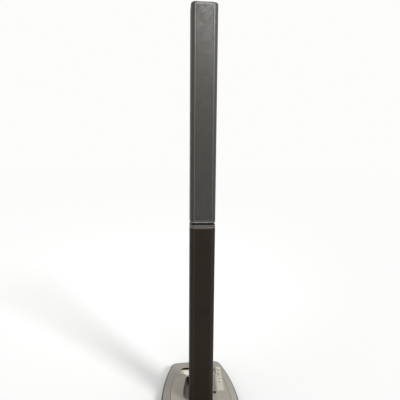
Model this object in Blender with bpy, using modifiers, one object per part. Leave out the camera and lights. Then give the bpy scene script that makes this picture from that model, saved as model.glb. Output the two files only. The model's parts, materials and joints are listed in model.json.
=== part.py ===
"""Column loudspeaker system: two plug-together array sections on a low powered stand.

Units are metres, +Z is up, the audience side is -Y. The origin is on the floor,
under the axis of the column and the middle of the stand.
"""
import math

import bmesh
import bpy
from mathutils import Euler, Vector

# ---- general -------------------------------------------------------------
GAP = 0.0003                 # air left between touching pieces
MERGE = 0.00001              # weld distance for caps
QUARTER = math.radians(90)

# ---- column sections -----------------------------------------------------
COLUMN_WIDTH = 0.127
COLUMN_DEPTH = 0.110
COLUMN_RADIUS = 0.025
WALL = 0.003
SEAM_ANGLE = math.radians(18.7)     # how far round the front corners the grille reaches
GRILLE_CROWN = 0.0018
GRILLE_SHEET = 0.0012
GRILLE_FLANGE = 0.008

COLUMN_BOTTOM = 0.030
COLUMN_TOP = 2.100
BOTTOM_CAP = 0.006
TOP_CAP = 0.006
COLLAR_BOTTOM = 1.0475
COLLAR_RIDGE = 0.0075
COLLAR_NECK_Z = 1.0635
JOINT_Z = 1.0733
JOINT_CAP = 0.0082
EDGE_EASE = 0.0014

DRIVERS = 8
DRIVER_PITCH = 0.125
DRIVER_RADIUS = 0.0385
DRIVER_STEPS = 14
BAFFLE_HOLE = 0.0332
BAFFLE_FRONT = -0.040
BAFFLE_THICK = 0.006
BAFFLE_HALF = 0.0570

PLUG_SIZE = (0.070, 0.050)
PLUG_SLACK = 0.0007
PLUG_DEPTH = 0.043
PLUG_RADIUS = 0.006

# ---- stand ---------------------------------------------------------------
STAND_HALF_WIDTH = 0.217
STAND_HALF_LENGTH = 0.350
STAND_SIDE_RADIUS = 0.955
STAND_END_RADIUS = 2.2
STAND_CORNER = 0.034
STAND_TOP = 0.083
SHELL_WALL = 0.003
FOOT_HEIGHT = 0.008
PAN_FLOOR = 0.010
PAN_TOP = 0.0455
BUMPER_BOTTOM = 0.024
BUMPER_TOP = 0.047
BUMPER_PROUD = 0.006
SHELL_RIM = 0.0473
SHELL_SHOULDER = 0.0573
PLATEAU_HALF_WIDTH = 0.1645
PLATEAU_HALF_LENGTH = 0.1785
PLATEAU_SIDE_RADIUS = 0.685
PLATEAU_EDGE_Z = 0.0806      # top of the sloping margin, just outside the groove
PLATEAU_CORNER = 0.022
GROOVE_WIDTH = 0.0026
GROOVE_DEPTH = 0.0022

WELL_RIGHT = 0.070
WELL_NEAR = -0.004
WELL_REAR = 0.172
WELL_LEFT_NEAR = -0.0945
WELL_LEFT_REAR = -0.0725
WELL_FLOOR = 0.046
WELL_WALL = 0.0022
SLEEVE_BOTTOM = 0.026
DEEP_FLOOR = 0.031

HOLD_HALF = 0.1105
HOLD_REAR = 0.277
HOLD_TIP = 0.229
HOLD_FRONT = 0.184
HOLD_FLOOR = 0.032
CUP_TOP = 0.058
CUP_REAR = 0.300
PLATE_FRONT = (0.1845, 0.0790)      # where the sloping plate starts, as (y, z) of its upper face
PLATE_END = (0.271, 0.0535)
PLATE_THICK = 0.003
SCREW_AT = (0.088, 0.232)

PANEL_TOP = 0.0840
PANEL_THICK = 0.002
PAD_MARGIN = 0.003            # the moulded pad shows this much around the panel
PAD_HEIGHT = 0.0195
KNOB_RADIUS = 0.0068
KNOB_HEIGHT = 0.0105
JACK_BORE = 0.0034
MASTER_AT = (0.0845, 0.031)
MASTER_RADIUS = 0.0094
MASTER_HEIGHT = 0.0050
VENT_START = 0.0475
VENT_END = 0.1720
RIBS = 12
RIB_WIDTH = 0.0057

REAR_LEFT = -0.043
REAR_RIGHT = 0.108
REAR_PANEL_Y = 0.3345
REAR_PANEL_THICK = 0.002
REAR_Z = (0.0125, 0.0445)
ROCKER_TILT = math.radians(8)

FOOT_RADIUS = 0.015
FOOT_AT = (0.145, 0.245)


# ---- scene helpers -------------------------------------------------------
def clear_scene():
    for item in list(bpy.data.objects):
        bpy.data.objects.remove(item, do_unlink=True)
    for group in list(bpy.data.collections):
        bpy.data.collections.remove(group)


def new_collection(name):
    group = bpy.data.collections.new(name)
    bpy.context.scene.collection.children.link(group)
    return group


def material(name, color, roughness, metallic=0.0):
    made = bpy.data.materials.get(name)
    if made:
        return made
    made = bpy.data.materials.new(name)
    made.use_nodes = True
    shader = made.node_tree.nodes["Principled BSDF"]
    shader.inputs["Base Color"].default_value = (*color, 1.0)
    shader.inputs["Roughness"].default_value = roughness
    shader.inputs["Metallic"].default_value = metallic
    made.diffuse_color = (*color, 1.0)
    return made


def connector_surface():
    return material("connector_black", (0.016, 0.016, 0.017), 0.4)


def cap_surface():
    return material("cap_black", (0.040, 0.039, 0.037), 0.42)


def placed(name, mesh, surface, location=(0, 0, 0), rotation=(0, 0, 0), parent=None):
    """Put a mesh in the model collection as a named sub-part."""
    item = bpy.data.objects.new(name, mesh)
    if mesh.materials:
        mesh.materials.clear()
    mesh.materials.append(surface)
    item.location = location
    item.rotation_euler = Euler(rotation)
    if parent:
        item.parent = parent
        item.location = Vector(location) - parent.location
    PARTS.objects.link(item)
    return item


def guide(name, mesh, location=(0, 0, 0), rotation=(0, 0, 0)):
    """A cutter or a joined helper: kept out of the render."""
    item = bpy.data.objects.new(name, mesh)
    item.location = location
    item.rotation_euler = Euler(rotation)
    item.hide_render = True
    item.display_type = "WIRE"
    CUTTERS.objects.link(item)
    return item


def pivot(name, location):
    empty = bpy.data.objects.new(name, None)
    empty.location = location
    empty.empty_display_size = 0.05
    PARTS.objects.link(empty)
    return empty


def boolean(target, tool, operation="DIFFERENCE"):
    step = target.modifiers.new(tool.name, "BOOLEAN")
    step.operation = operation
    step.solver = "EXACT"
    step.object = tool
    return step


def bevel(target, width, segments=1, angle=40):
    step = target.modifiers.new("eased_edges", "BEVEL")
    step.width = width
    step.segments = segments
    step.limit_method = "ANGLE"
    step.angle_limit = math.radians(angle)
    return step


def smooth(mesh, angle=35):
    mesh.shade_smooth()
    mesh.set_sharp_from_angle(angle=math.radians(angle))
    return mesh


# ---- outlines ------------------------------------------------------------
def arc(centre, radius, start, end, steps):
    points = []
    for index in range(steps + 1):
        angle = start + (end - start) * index / steps
        points.append((centre[0] + radius * math.cos(angle), centre[1] + radius * math.sin(angle)))
    return points


def rounded_polygon(corners, steps=5):
    """Corners are (x, y, radius), counter-clockwise; each becomes an arc."""
    points = []
    count = len(corners)
    for index, (x, y, radius) in enumerate(corners):
        here = Vector((x, y))
        before = (Vector(corners[index - 1][:2]) - here).normalized()
        after = (Vector(corners[(index + 1) % count][:2]) - here).normalized()
        half = before.angle(after) / 2
        reach = radius / math.tan(half)
        centre = here + (before + after).normalized() * (radius / math.sin(half))
        first = here + before * reach - centre
        sweep = math.pi - 2 * half
        base = math.atan2(first.y, first.x)
        points += arc(centre, radius, base, base + sweep, steps)
    return points


def rectangle(width, depth, radius, centre=(0, 0), steps=5):
    x, y = width / 2, depth / 2
    corners = [(x, -y), (x, y), (-x, y), (-x, -y)]
    return rounded_polygon([(a + centre[0], b + centre[1], radius) for a, b in corners], steps)


def column_outline(inset=0.0, steps=6):
    width, depth = COLUMN_WIDTH - 2 * inset, COLUMN_DEPTH - 2 * inset
    return rectangle(width, depth, COLUMN_RADIUS - inset, steps=steps)


def channel_outline(steps=6):
    """The column's wall: a rounded rectangle left open across the front."""
    x, y = COLUMN_WIDTH / 2 - COLUMN_RADIUS, COLUMN_DEPTH / 2 - COLUMN_RADIUS
    corners = [(x, -y, -QUARTER + SEAM_ANGLE, 0), (x, y, 0, QUARTER),
               (-x, y, QUARTER, 2 * QUARTER), (-x, -y, 2 * QUARTER, 3 * QUARTER - SEAM_ANGLE)]
    outer, inner = [], []
    for cx, cy, start, end in corners:
        outer += arc((cx, cy), COLUMN_RADIUS, start, end, steps)
        inner += arc((cx, cy), COLUMN_RADIUS - WALL, start, end, steps)
    return outer + inner[::-1]


def seam_point(radius):
    """Where a front corner of the given radius meets the grille, on the right-hand side."""
    x, y = COLUMN_WIDTH / 2 - COLUMN_RADIUS, COLUMN_RADIUS - COLUMN_DEPTH / 2
    return x + radius * math.sin(SEAM_ANGLE), y - radius * math.cos(SEAM_ANGLE)


def grille_outline(steps=10):
    """A crowned sheet with two flanges turned back inside the column's wall."""
    edge, edge_y = seam_point(COLUMN_RADIUS)
    lip, lip_y = seam_point(COLUMN_RADIUS - WALL)
    half, lip = edge - GAP, lip - GAP
    radius = (half ** 2 + GRILLE_CROWN ** 2) / (2 * GRILLE_CROWN)
    centre = (0.0, edge_y - GRILLE_CROWN + radius)
    spread = math.asin(half / radius)
    inner_half = lip - GRILLE_SHEET
    inner_spread = math.asin(inner_half / (radius - GRILLE_SHEET))
    front = arc(centre, radius, -QUARTER - spread, -QUARTER + spread, steps)
    back = arc(centre, radius - GRILLE_SHEET, -QUARTER + inner_spread, -QUARTER - inner_spread, steps)
    end_y = edge_y + GRILLE_FLANGE
    right = [(lip, lip_y), (lip, end_y), (inner_half, end_y)]
    left = [(-x, y) for x, y in reversed(right)]
    return front + right + back + left


def stand_outline(half_width, half_length, side_radius, corner, steps=6):
    """Bowed sides, nearly straight ends and round corners, counter-clockwise."""
    side = Vector((half_width - side_radius, 0.0))
    end = Vector((0.0, half_length - STAND_END_RADIUS))
    reach_side, reach_end = side_radius - corner, STAND_END_RADIUS - corner
    span = (end - side).length
    along = (reach_side ** 2 - reach_end ** 2 + span ** 2) / (2 * span)
    across = math.sqrt(reach_side ** 2 - along ** 2)
    unit = (end - side).normalized()
    centre = side + unit * along + Vector((-unit.y, unit.x)) * across
    side_angle = math.atan2((centre - side).y, (centre - side).x)
    end_angle = math.atan2((centre - end).y, (centre - end).x)
    quarter = arc(side, side_radius, 0.0, side_angle, steps)
    quarter += arc(centre, corner, side_angle, end_angle, steps)[1:]
    quarter += arc(end, STAND_END_RADIUS, end_angle, QUARTER, steps // 2)[1:]
    upper = quarter + [(-x, y) for x, y in quarter[-2::-1]]
    return upper + [(x, -y) for x, y in upper[-2:0:-1]]


def rim_outline(inset, steps=6):
    return stand_outline(STAND_HALF_WIDTH - inset, STAND_HALF_LENGTH - inset,
                         STAND_SIDE_RADIUS - inset, STAND_CORNER - inset, steps)


def plateau_outline(inset, steps=6):
    return stand_outline(PLATEAU_HALF_WIDTH - inset, PLATEAU_HALF_LENGTH - inset,
                         PLATEAU_SIDE_RADIUS - inset, PLATEAU_CORNER - inset, steps)


def well_outline(inset=0.0, steps=6):
    return rounded_polygon([
        (WELL_RIGHT - inset, WELL_NEAR + inset, 0.012),
        (WELL_RIGHT - inset, WELL_REAR - inset, 0.014 - inset),
        (WELL_LEFT_REAR + inset, WELL_REAR - inset, 0.014 - inset),
        (WELL_LEFT_NEAR + inset + 0.0005, 0.060, 0.100),
        (WELL_LEFT_NEAR + inset, WELL_NEAR + inset, 0.026 - inset)], steps)


def hold_outline(inset=0.0, rear=HOLD_REAR, steps=4):
    """The hand-hold's opening; a larger rear value makes the cup under the carrying bar."""
    half = [(HOLD_HALF - 0.0485, HOLD_FRONT + inset, 0.034), (HOLD_HALF - inset, HOLD_TIP, 0.010),
            (HOLD_HALF - 0.0205, rear - inset, 0.020)]
    return rounded_polygon(half + [(-x, y, radius) for x, y, radius in reversed(half)], steps)


def panel_outline(grow=0.0, steps=3):
    return rounded_polygon([
        (0.0985 - grow, 0.0405 - grow, 0.003 + grow),
        (0.1405 + grow, 0.0385 - grow, 0.003 + grow),
        (0.1465 + grow, 0.2350 + grow, 0.003 + grow),
        (0.1225 - grow, 0.2465 + grow, 0.003 + grow)], steps)


def vent_outline(grow=0.0, steps=2):
    return rounded_polygon([
        (0.0785 - grow, VENT_START - grow, 0.002 + grow),
        (0.0945 + grow, VENT_START - grow, 0.002 + grow),
        (0.1030 + grow, VENT_END + grow, 0.002 + grow),
        (0.0865 - grow, VENT_END + grow, 0.002 + grow)], steps)


# ---- solids --------------------------------------------------------------
def prism_mesh(name, outlines, depth):
    """A flat outline, or an outline with holes, extruded up from local z = 0."""
    flat = bpy.data.curves.new(name, "CURVE")
    flat.dimensions = "2D"
    flat.fill_mode = "BOTH"
    flat.extrude = depth / 2
    for outline in outlines:
        spline = flat.splines.new("POLY")
        spline.points.add(len(outline) - 1)
        for point, (x, y) in zip(spline.points, outline):
            point.co = (x, y, 0.0, 1.0)
        spline.use_cyclic_u = True
    holder = bpy.data.objects.new(name, flat)
    CUTTERS.objects.link(holder)
    view = holder.evaluated_get(bpy.context.evaluated_depsgraph_get())
    mesh = bpy.data.meshes.new_from_object(view)
    bpy.data.objects.remove(holder, do_unlink=True)
    bpy.data.curves.remove(flat)
    shape = bmesh.new()
    shape.from_mesh(mesh)
    bmesh.ops.remove_doubles(shape, verts=shape.verts, dist=MERGE)
    bmesh.ops.translate(shape, verts=shape.verts, vec=(0, 0, depth / 2))
    bmesh.ops.recalc_face_normals(shape, faces=shape.faces)
    shape.to_mesh(mesh)
    shape.free()
    mesh.name = name
    return mesh


def loft_mesh(name, rings, floor=True, roof=True):
    """Skin outlines with the same number of points, bottom to top; each ring is (outline, z)."""
    shape = bmesh.new()
    loops = [[shape.verts.new((x, y, z)) for x, y in outline] for outline, z in rings]
    count = len(loops[0])
    for low, high in zip(loops, loops[1:]):
        for index in range(count):
            after = (index + 1) % count
            shape.faces.new((low[index], low[after], high[after], high[index]))
    if roof:
        shape.faces.new(loops[-1])
    if floor:
        shape.faces.new(loops[0][::-1])
    mesh = bpy.data.meshes.new(name)
    shape.to_mesh(mesh)
    shape.free()
    return mesh


def comb_outline(teeth, pitch, tooth, floor, top):
    """Side view of upright ribs on a plate that starts at (0, 0) and ends with the last rib."""
    length = (teeth - 1) * pitch + tooth
    outline = [(0.0, 0.0), (length, 0.0)]
    for index in range(teeth - 1, -1, -1):
        left = index * pitch
        outline += [(left + tooth, floor), (left + tooth, top), (left, top), (left, floor)]
    return outline[:2] + outline[3:-1]


def turned(name, profile, surface, steps, location, rotation=(0, 0, 0), parent=None):
    """Turn a profile of (radius, height), given from the top axis point to the bottom one."""
    mesh = bpy.data.meshes.new(name)
    points = [(radius, 0.0, height) for radius, height in profile]
    links = [(index, index + 1) for index in range(len(points) - 1)]
    mesh.from_pydata(points, links, [])
    item = placed(name, mesh, surface, location, rotation, parent)
    step = item.modifiers.new("turned", "SCREW")
    step.axis = "Z"
    step.angle = 2 * math.pi
    step.steps = steps
    step.render_steps = steps
    step.use_merge_vertices = True
    step.merge_threshold = MERGE
    step.use_smooth_shade = True
    return item


def box_mesh(name, size):
    mesh = bpy.data.meshes.new(name)
    shape = bmesh.new()
    bmesh.ops.create_cube(shape, size=1.0)
    bmesh.ops.scale(shape, verts=shape.verts, vec=size)
    shape.to_mesh(mesh)
    shape.free()
    return mesh


def cylinder_mesh(name, radius, depth, steps=24):
    mesh = bpy.data.meshes.new(name)
    shape = bmesh.new()
    bmesh.ops.create_cone(shape, cap_ends=True, segments=steps, radius1=radius, radius2=radius, depth=depth)
    shape.to_mesh(mesh)
    shape.free()
    return mesh


# ---- column sections -----------------------------------------------------
def driver_profile():
    """Front face at height 0, magnet at the back: dust cap, cone, roll, flange, basket."""
    hole = BAFFLE_HOLE - 0.0015
    return [(0.0, -0.0080), (0.0095, -0.0112), (0.0262, -0.0022), (0.0290, 0.0), (0.0325, -0.0012),
            (DRIVER_RADIUS, -0.0004), (DRIVER_RADIUS, -0.0030), (hole, -0.0030), (hole, -0.0120),
            (0.0205, -0.0225), (0.0205, -0.0365), (0.0, -0.0365)]


def make_drivers(section, centre_z, parent):
    surface = material("driver_black", (0.018, 0.018, 0.020), 0.55)
    front = BAFFLE_FRONT - 0.0033
    items = []
    for index in range(DRIVERS):
        z = centre_z + (index - (DRIVERS - 1) / 2) * DRIVER_PITCH
        items.append(turned(f"{section}_driver_{index + 1}", driver_profile(), surface, DRIVER_STEPS,
                            (0, front, z), (QUARTER, 0, 0), parent))
    return items


def make_baffle(section, bottom, top, centre_z, parent):
    surface = material("baffle_black", (0.022, 0.022, 0.024), 0.7)
    mesh = box_mesh(f"{section}_baffle", (2 * BAFFLE_HALF, BAFFLE_THICK, top - bottom))
    place = (0, BAFFLE_FRONT + BAFFLE_THICK / 2, (bottom + top) / 2)
    board = placed(f"{section}_baffle", mesh, surface, place, parent=parent)
    for index in range(DRIVERS):
        z = centre_z + (index - (DRIVERS - 1) / 2) * DRIVER_PITCH
        hole = guide(f"{section}_baffle_hole_{index + 1}",
                     cylinder_mesh("hole", BAFFLE_HOLE, 4 * BAFFLE_THICK, DRIVER_STEPS),
                     (0, BAFFLE_FRONT, z), (QUARTER, 0, 0))
        boolean(board, hole)
    return board


def make_section(section, bottom, top, driver_z, parent):
    """Shell, grille, baffle and drivers of one section between two cap faces."""
    shell_surface = material("column_black", (0.030, 0.029, 0.026), 0.5)
    grille_surface = material("grille_black", (0.034, 0.033, 0.030), 0.55, 0.2)
    height = top - bottom - 2 * GAP
    shell = prism_mesh(f"{section}_shell", [channel_outline()], height)
    placed(f"{section}_shell", smooth(shell), shell_surface, (0, 0, bottom + GAP), parent=parent)
    grille = prism_mesh(f"{section}_grille", [grille_outline()], height)
    placed(f"{section}_grille", smooth(grille), grille_surface, (0, 0, bottom + GAP), parent=parent)
    make_baffle(section, bottom + 2 * GAP, top - 2 * GAP, driver_z, parent)
    make_drivers(section, driver_z, parent)


def plug_outline(grow=0.0):
    return rectangle(PLUG_SIZE[0] + 2 * grow, PLUG_SIZE[1] + 2 * grow, PLUG_RADIUS + grow, steps=3)


def make_plug(name, top, depth, parent):
    surface = connector_surface()
    block = placed(name, prism_mesh(name, [plug_outline()], depth), surface, (0, 0, top - depth),
                   parent=parent)
    bevel(block, 0.001)
    return block


def make_receptacle(name, bottom, top, floor, surface, parent=None):
    """A cup that takes the plug of the section above it."""
    wall = 0.0025
    cup = placed(name, prism_mesh(name, [plug_outline(PLUG_SLACK + wall)], top - bottom), surface,
                 (0, 0, bottom), parent=parent)
    inside = guide(f"{name}_inside", prism_mesh("inside", [plug_outline(PLUG_SLACK)], top - bottom),
                   (0, 0, bottom + floor))
    boolean(cup, inside)
    return cup


def make_lower_column():
    body = pivot("lower_column", (0, 0, COLUMN_BOTTOM))
    satin = cap_surface()
    cap_top = COLUMN_BOTTOM + BOTTOM_CAP
    cap = placed("lower_bottom_cap", prism_mesh("lower_bottom_cap", [column_outline(0.0006)], BOTTOM_CAP),
                 satin, (0, 0, COLUMN_BOTTOM), parent=body)
    bevel(cap, 0.0008)
    make_plug("lower_plug", COLUMN_BOTTOM - GAP, 0.0165, body)
    make_section("lower", cap_top, COLLAR_BOTTOM, (cap_top + COLLAR_BOTTOM) / 2 - 0.012, body)
    ridge_top = COLLAR_BOTTOM + COLLAR_RIDGE
    second = ridge_top + EDGE_EASE
    rings = [(column_outline(EDGE_EASE), COLLAR_BOTTOM), (column_outline(), COLLAR_BOTTOM + EDGE_EASE),
             (column_outline(), ridge_top - EDGE_EASE), (column_outline(0.0020), ridge_top),
             (column_outline(0.0020), second), (column_outline(), second + EDGE_EASE),
             (column_outline(), COLLAR_NECK_Z - EDGE_EASE), (column_outline(EDGE_EASE), COLLAR_NECK_Z),
             (column_outline(0.0045), COLLAR_NECK_Z), (column_outline(0.0045), JOINT_Z - GAP)]
    collar = placed("lower_top_cap", smooth(loft_mesh("lower_top_cap", rings)), satin, parent=body)
    collar.location = -body.location
    mouth = guide("lower_top_cap_mouth", prism_mesh("mouth", [plug_outline(PLUG_SLACK)], 0.06),
                  (0, 0, COLLAR_BOTTOM - 0.01))
    boolean(collar, mouth)
    cup_bottom = JOINT_Z - PLUG_DEPTH - 0.006
    make_receptacle("lower_receptacle", cup_bottom, COLLAR_BOTTOM - GAP, 0.003,
                    connector_surface(), body)


def make_upper_column():
    body = pivot("upper_column", (0, 0, JOINT_Z))
    satin = cap_surface()
    cap_top = JOINT_Z + JOINT_CAP
    rings = [(column_outline(EDGE_EASE), JOINT_Z), (column_outline(), JOINT_Z + EDGE_EASE),
             (column_outline(), cap_top - EDGE_EASE), (column_outline(EDGE_EASE), cap_top)]
    cap = placed("upper_bottom_cap", smooth(loft_mesh("upper_bottom_cap", rings)), satin, parent=body)
    cap.location = -body.location
    make_plug("upper_plug", JOINT_Z - GAP, PLUG_DEPTH, body)
    make_section("upper", cap_top, COLUMN_TOP - TOP_CAP, (cap_top + COLUMN_TOP - TOP_CAP) / 2, body)
    lid_bottom = COLUMN_TOP - TOP_CAP
    rings = [(column_outline(), lid_bottom), (column_outline(), COLUMN_TOP - 0.0008),
             (column_outline(0.0008), COLUMN_TOP)]
    lid = placed("upper_top_cap", smooth(loft_mesh("upper_top_cap", rings)), satin, parent=body)
    lid.location = -body.location


# ---- stand: casing -------------------------------------------------------
def rear_bay(name, low, high, grow=0.0):
    """The recess in the rear edge that gives access to the connectors."""
    width = REAR_RIGHT - REAR_LEFT + 2 * grow
    centre = ((REAR_LEFT + REAR_RIGHT) / 2, STAND_HALF_LENGTH, (low + high) / 2)
    return guide(name, box_mesh(name, (width, 0.060, high - low)), centre)


def make_top_shell():
    """A hollow moulding: the outer skin less the cavity under it, then the pad and the openings."""
    surface = material("stand_grey", (0.26, 0.25, 0.22), 0.5)
    skirt = BUMPER_PROUD + GAP
    turn = SHELL_RIM + 0.0045
    groove_floor = PLATEAU_EDGE_Z - GROOVE_DEPTH
    outer = [(rim_outline(skirt), SHELL_RIM), (rim_outline(skirt), turn),
             (rim_outline(skirt + 0.0020), turn + SHELL_WALL),
             (rim_outline(skirt + 2 * SHELL_WALL), SHELL_SHOULDER),
             (plateau_outline(-GROOVE_WIDTH), PLATEAU_EDGE_Z),
             (plateau_outline(-GROOVE_WIDTH / 2), groove_floor),
             (plateau_outline(0.0), STAND_TOP - 0.0010), (plateau_outline(0.0015), STAND_TOP)]
    cavity = [(rim_outline(skirt + SHELL_WALL), SHELL_RIM - SHELL_WALL),
              (rim_outline(skirt + SHELL_WALL), turn),
              (rim_outline(skirt + 2.5 * SHELL_WALL), SHELL_SHOULDER - SHELL_WALL),
              (plateau_outline(-GROOVE_WIDTH), groove_floor - SHELL_WALL)]
    shell = placed("base_top_shell", smooth(loft_mesh("base_top_shell", outer), 25), surface)
    boolean(shell, guide("shell_cavity", loft_mesh("shell_cavity", cavity)))
    pad = prism_mesh("panel_pad", [panel_outline(PAD_MARGIN)], PAD_HEIGHT)
    boolean(shell, guide("panel_pad", pad, (0, 0, PANEL_TOP - 0.0005 - PAD_HEIGHT)), "UNION")
    deep = 0.060
    cuts = [("shell_well", well_outline(-GAP), STAND_TOP - deep, 2 * deep),
            ("shell_column", column_outline(-0.0035), STAND_TOP - deep, 2 * deep),
            ("shell_hold", hold_outline(-GAP), STAND_TOP - deep, 2 * deep),
            ("shell_vent", vent_outline(GAP), STAND_TOP - deep, 2 * deep),
            ("shell_panel", panel_outline(GAP), PANEL_TOP - PANEL_THICK - GAP, deep),
            ("shell_panel_window", panel_outline(-0.0025), STAND_TOP - deep, 2 * deep)]
    for name, outline, low, height in cuts:
        boolean(shell, guide(name, prism_mesh(name, [outline], height), (0, 0, low)))
    hole = guide("shell_master_hole", cylinder_mesh("hole", 0.0038, deep, 16), (*MASTER_AT, STAND_TOP))
    boolean(shell, hole)
    return shell


def make_bottom_pan():
    surface = material("pan_black", (0.028, 0.028, 0.030), 0.55)
    inset = BUMPER_PROUD + GAP
    rings = [(rim_outline(inset + 0.005), FOOT_HEIGHT), (rim_outline(inset + 0.002), FOOT_HEIGHT + 0.002),
             (rim_outline(inset), FOOT_HEIGHT + 0.006), (rim_outline(inset), PAN_TOP)]
    mesh = loft_mesh("base_bottom_pan", rings, roof=False)
    pan = placed("base_bottom_pan", smooth(mesh), surface)
    hollow = pan.modifiers.new("pressed_wall", "SOLIDIFY")
    hollow.thickness = PAN_FLOOR - FOOT_HEIGHT
    hollow.offset = -1.0
    hollow.use_even_offset = True
    boolean(pan, rear_bay("pan_rear_bay", REAR_Z[0] - 0.001, 0.060))
    return pan


def make_bumper():
    surface = material("bumper_rubber", (0.020, 0.021, 0.023), 0.7)
    mesh = prism_mesh("base_bumper", [rim_outline(0.0), rim_outline(BUMPER_PROUD)], BUMPER_TOP - BUMPER_BOTTOM)
    ring = placed("base_bumper", smooth(mesh), surface, (0, 0, BUMPER_BOTTOM))
    boolean(ring, rear_bay("bumper_rear_bay", 0.0, 0.060, GAP))
    bevel(ring, 0.0018, 1, 60)
    return ring


def make_feet():
    surface = material("foot_rubber", (0.015, 0.015, 0.016), 0.8)
    top = FOOT_HEIGHT - GAP
    profile = [(0.0, top), (FOOT_RADIUS - 0.001, top), (FOOT_RADIUS, top - 0.002),
               (FOOT_RADIUS - 0.0015, 0.0008), (FOOT_RADIUS - 0.0025, 0.0), (0.0, 0.0)]
    number = 0
    for side_y in (-1, 1):
        for side_x in (-1, 1):
            number += 1
            place = (side_x * FOOT_AT[0], side_y * FOOT_AT[1], 0)
            turned(f"foot_{number}", profile, surface, 16, place)


# ---- stand: column socket ------------------------------------------------
def make_well_liner():
    surface = material("well_brown", (0.085, 0.070, 0.058), 0.55)
    top = STAND_TOP - 0.0008
    liner = placed("well_liner", prism_mesh("well_liner", [well_outline()], top - SLEEVE_BOTTOM), surface,
                   (0, 0, SLEEVE_BOTTOM))
    sleeve = guide("liner_sleeve", prism_mesh("sleeve", [column_outline(-0.0032)], top - SLEEVE_BOTTOM),
                   (0, 0, SLEEVE_BOTTOM))
    boolean(liner, sleeve, "UNION")
    height = 0.080
    pocket = guide("liner_pocket", prism_mesh("pocket", [well_outline(WELL_WALL)], height), (0, 0, WELL_FLOOR))
    boolean(liner, pocket)
    throat = guide("liner_throat", prism_mesh("throat", [column_outline(-0.0009)], height),
                   (0, 0, COLUMN_BOTTOM - GAP))
    boolean(liner, throat)
    rear = WELL_REAR - WELL_WALL
    deep = rounded_polygon([(0.045, 0.104, 0.006), (0.062, rear, 0.010), (-0.068, rear, 0.010),
                            (-0.045, 0.104, 0.006)])
    boolean(liner, guide("liner_deep", prism_mesh("deep", [deep], height), (0, 0, DEEP_FLOOR)))
    mouth = guide("liner_mouth", prism_mesh("mouth", [plug_outline(PLUG_SLACK)], height),
                  (0, 0, SLEEVE_BOTTOM - height / 2))
    boolean(liner, mouth)
    return liner


def make_hand_hold():
    cup_surface = material("cup_black", (0.012, 0.012, 0.012), 0.6)
    plate_surface = material("hold_silver", (0.56, 0.54, 0.47), 0.38, 0.4)
    wall = 0.002
    height = CUP_TOP - HOLD_FLOOR
    cup = placed("handle_cup", prism_mesh("handle_cup", [hold_outline(0, CUP_REAR)], height), cup_surface,
                 (0, 0, HOLD_FLOOR))
    inside = guide("cup_inside", prism_mesh("inside", [hold_outline(wall, CUP_REAR)], height),
                   (0, 0, HOLD_FLOOR + wall))
    boolean(cup, inside)
    slope = (PLATE_END[1] - PLATE_FRONT[1]) / (PLATE_END[0] - PLATE_FRONT[0])
    section = [PLATE_FRONT, (PLATE_FRONT[0], PLATE_FRONT[1] - PLATE_THICK),
               (PLATE_END[0], PLATE_END[1] - PLATE_THICK), PLATE_END]
    plate = placed("handle_plate", prism_mesh("handle_plate", [section], 0.24), plate_surface,
                   (-0.12, 0, 0), (QUARTER, 0, QUARTER))
    trim = guide("plate_trim", prism_mesh("trim", [hold_outline(wall + 0.0004, CUP_REAR)], 0.1))
    boolean(plate, trim, "INTERSECT")
    screw_surface = material("screw_black", (0.02, 0.02, 0.022), 0.35, 0.6)
    head = [(0.0, 0.0026), (0.0022, 0.0024), (0.0038, 0.0014), (0.0042, GAP), (0.0, GAP)]
    screw_z = PLATE_FRONT[1] + (SCREW_AT[1] - PLATE_FRONT[0]) * slope
    for number, side in enumerate((-1, 1), 1):
        turned(f"handle_screw_{number}", head, screw_surface, 10, (side * SCREW_AT[0], SCREW_AT[1], screw_z),
               (math.atan(slope), 0, 0))


# ---- stand: controls -----------------------------------------------------
def knob_profile(radius, height, shaft, depth):
    return [(0.0, height), (radius - 0.0022, height), (radius - 0.0010, height - 0.0007),
            (radius, 0.0012), (radius, 0.0), (shaft, 0.0), (shaft, -depth), (0.0, -depth)]


KNOB_PLACES = [(0.1335, 0.2080), (0.1310, 0.1720)]
JACK_PLACES = [(0.1260, 0.1360), (0.1230, 0.1060)]
LED_PLACE = (0.1060, 0.0560)


def make_control_panel():
    surface = material("panel_silver", (0.60, 0.58, 0.50), 0.35, 0.3)
    low = PANEL_TOP - PANEL_THICK
    plate = placed("control_panel", prism_mesh("control_panel", [panel_outline()], PANEL_THICK), surface,
                   (0, 0, low))
    holes = [(place, 0.0036) for place in KNOB_PLACES] + [(place, 0.0050) for place in JACK_PLACES]
    holes.append((LED_PLACE, 0.0022))
    for number, (place, radius) in enumerate(holes, 1):
        boolean(plate, guide(f"panel_hole_{number}", cylinder_mesh("hole", radius, 0.02, 16), (*place, low)))
    knob_surface = material("knob_grey", (0.42, 0.41, 0.38), 0.4)
    profile = knob_profile(KNOB_RADIUS, KNOB_HEIGHT, 0.0030, 0.012)
    for number, place in enumerate(KNOB_PLACES, 1):
        turned(f"level_knob_{number}", profile, knob_surface, 16, (*place, PANEL_TOP + 0.0004))
    metal = material("nickel", (0.62, 0.61, 0.58), 0.28, 1.0)
    jack = [(0.0, -0.0200), (JACK_BORE, -0.0200), (JACK_BORE, 0.0022), (0.0060, 0.0022), (0.0068, 0.0014),
            (0.0068, GAP), (0.0046, GAP), (0.0046, -0.0220), (0.0, -0.0220)]
    for number, place in enumerate(JACK_PLACES, 1):
        turned(f"input_jack_{number}", jack, metal, 16, (*place, PANEL_TOP))
    lens = material("led_lens", (0.05, 0.30, 0.10), 0.2)
    dome = [(0.0, 0.0012), (0.0012, 0.0008), (0.0018, 0.0), (0.0018, -0.0060), (0.0, -0.0060)]
    turned("status_led", dome, lens, 8, (*LED_PLACE, PANEL_TOP))


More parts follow.
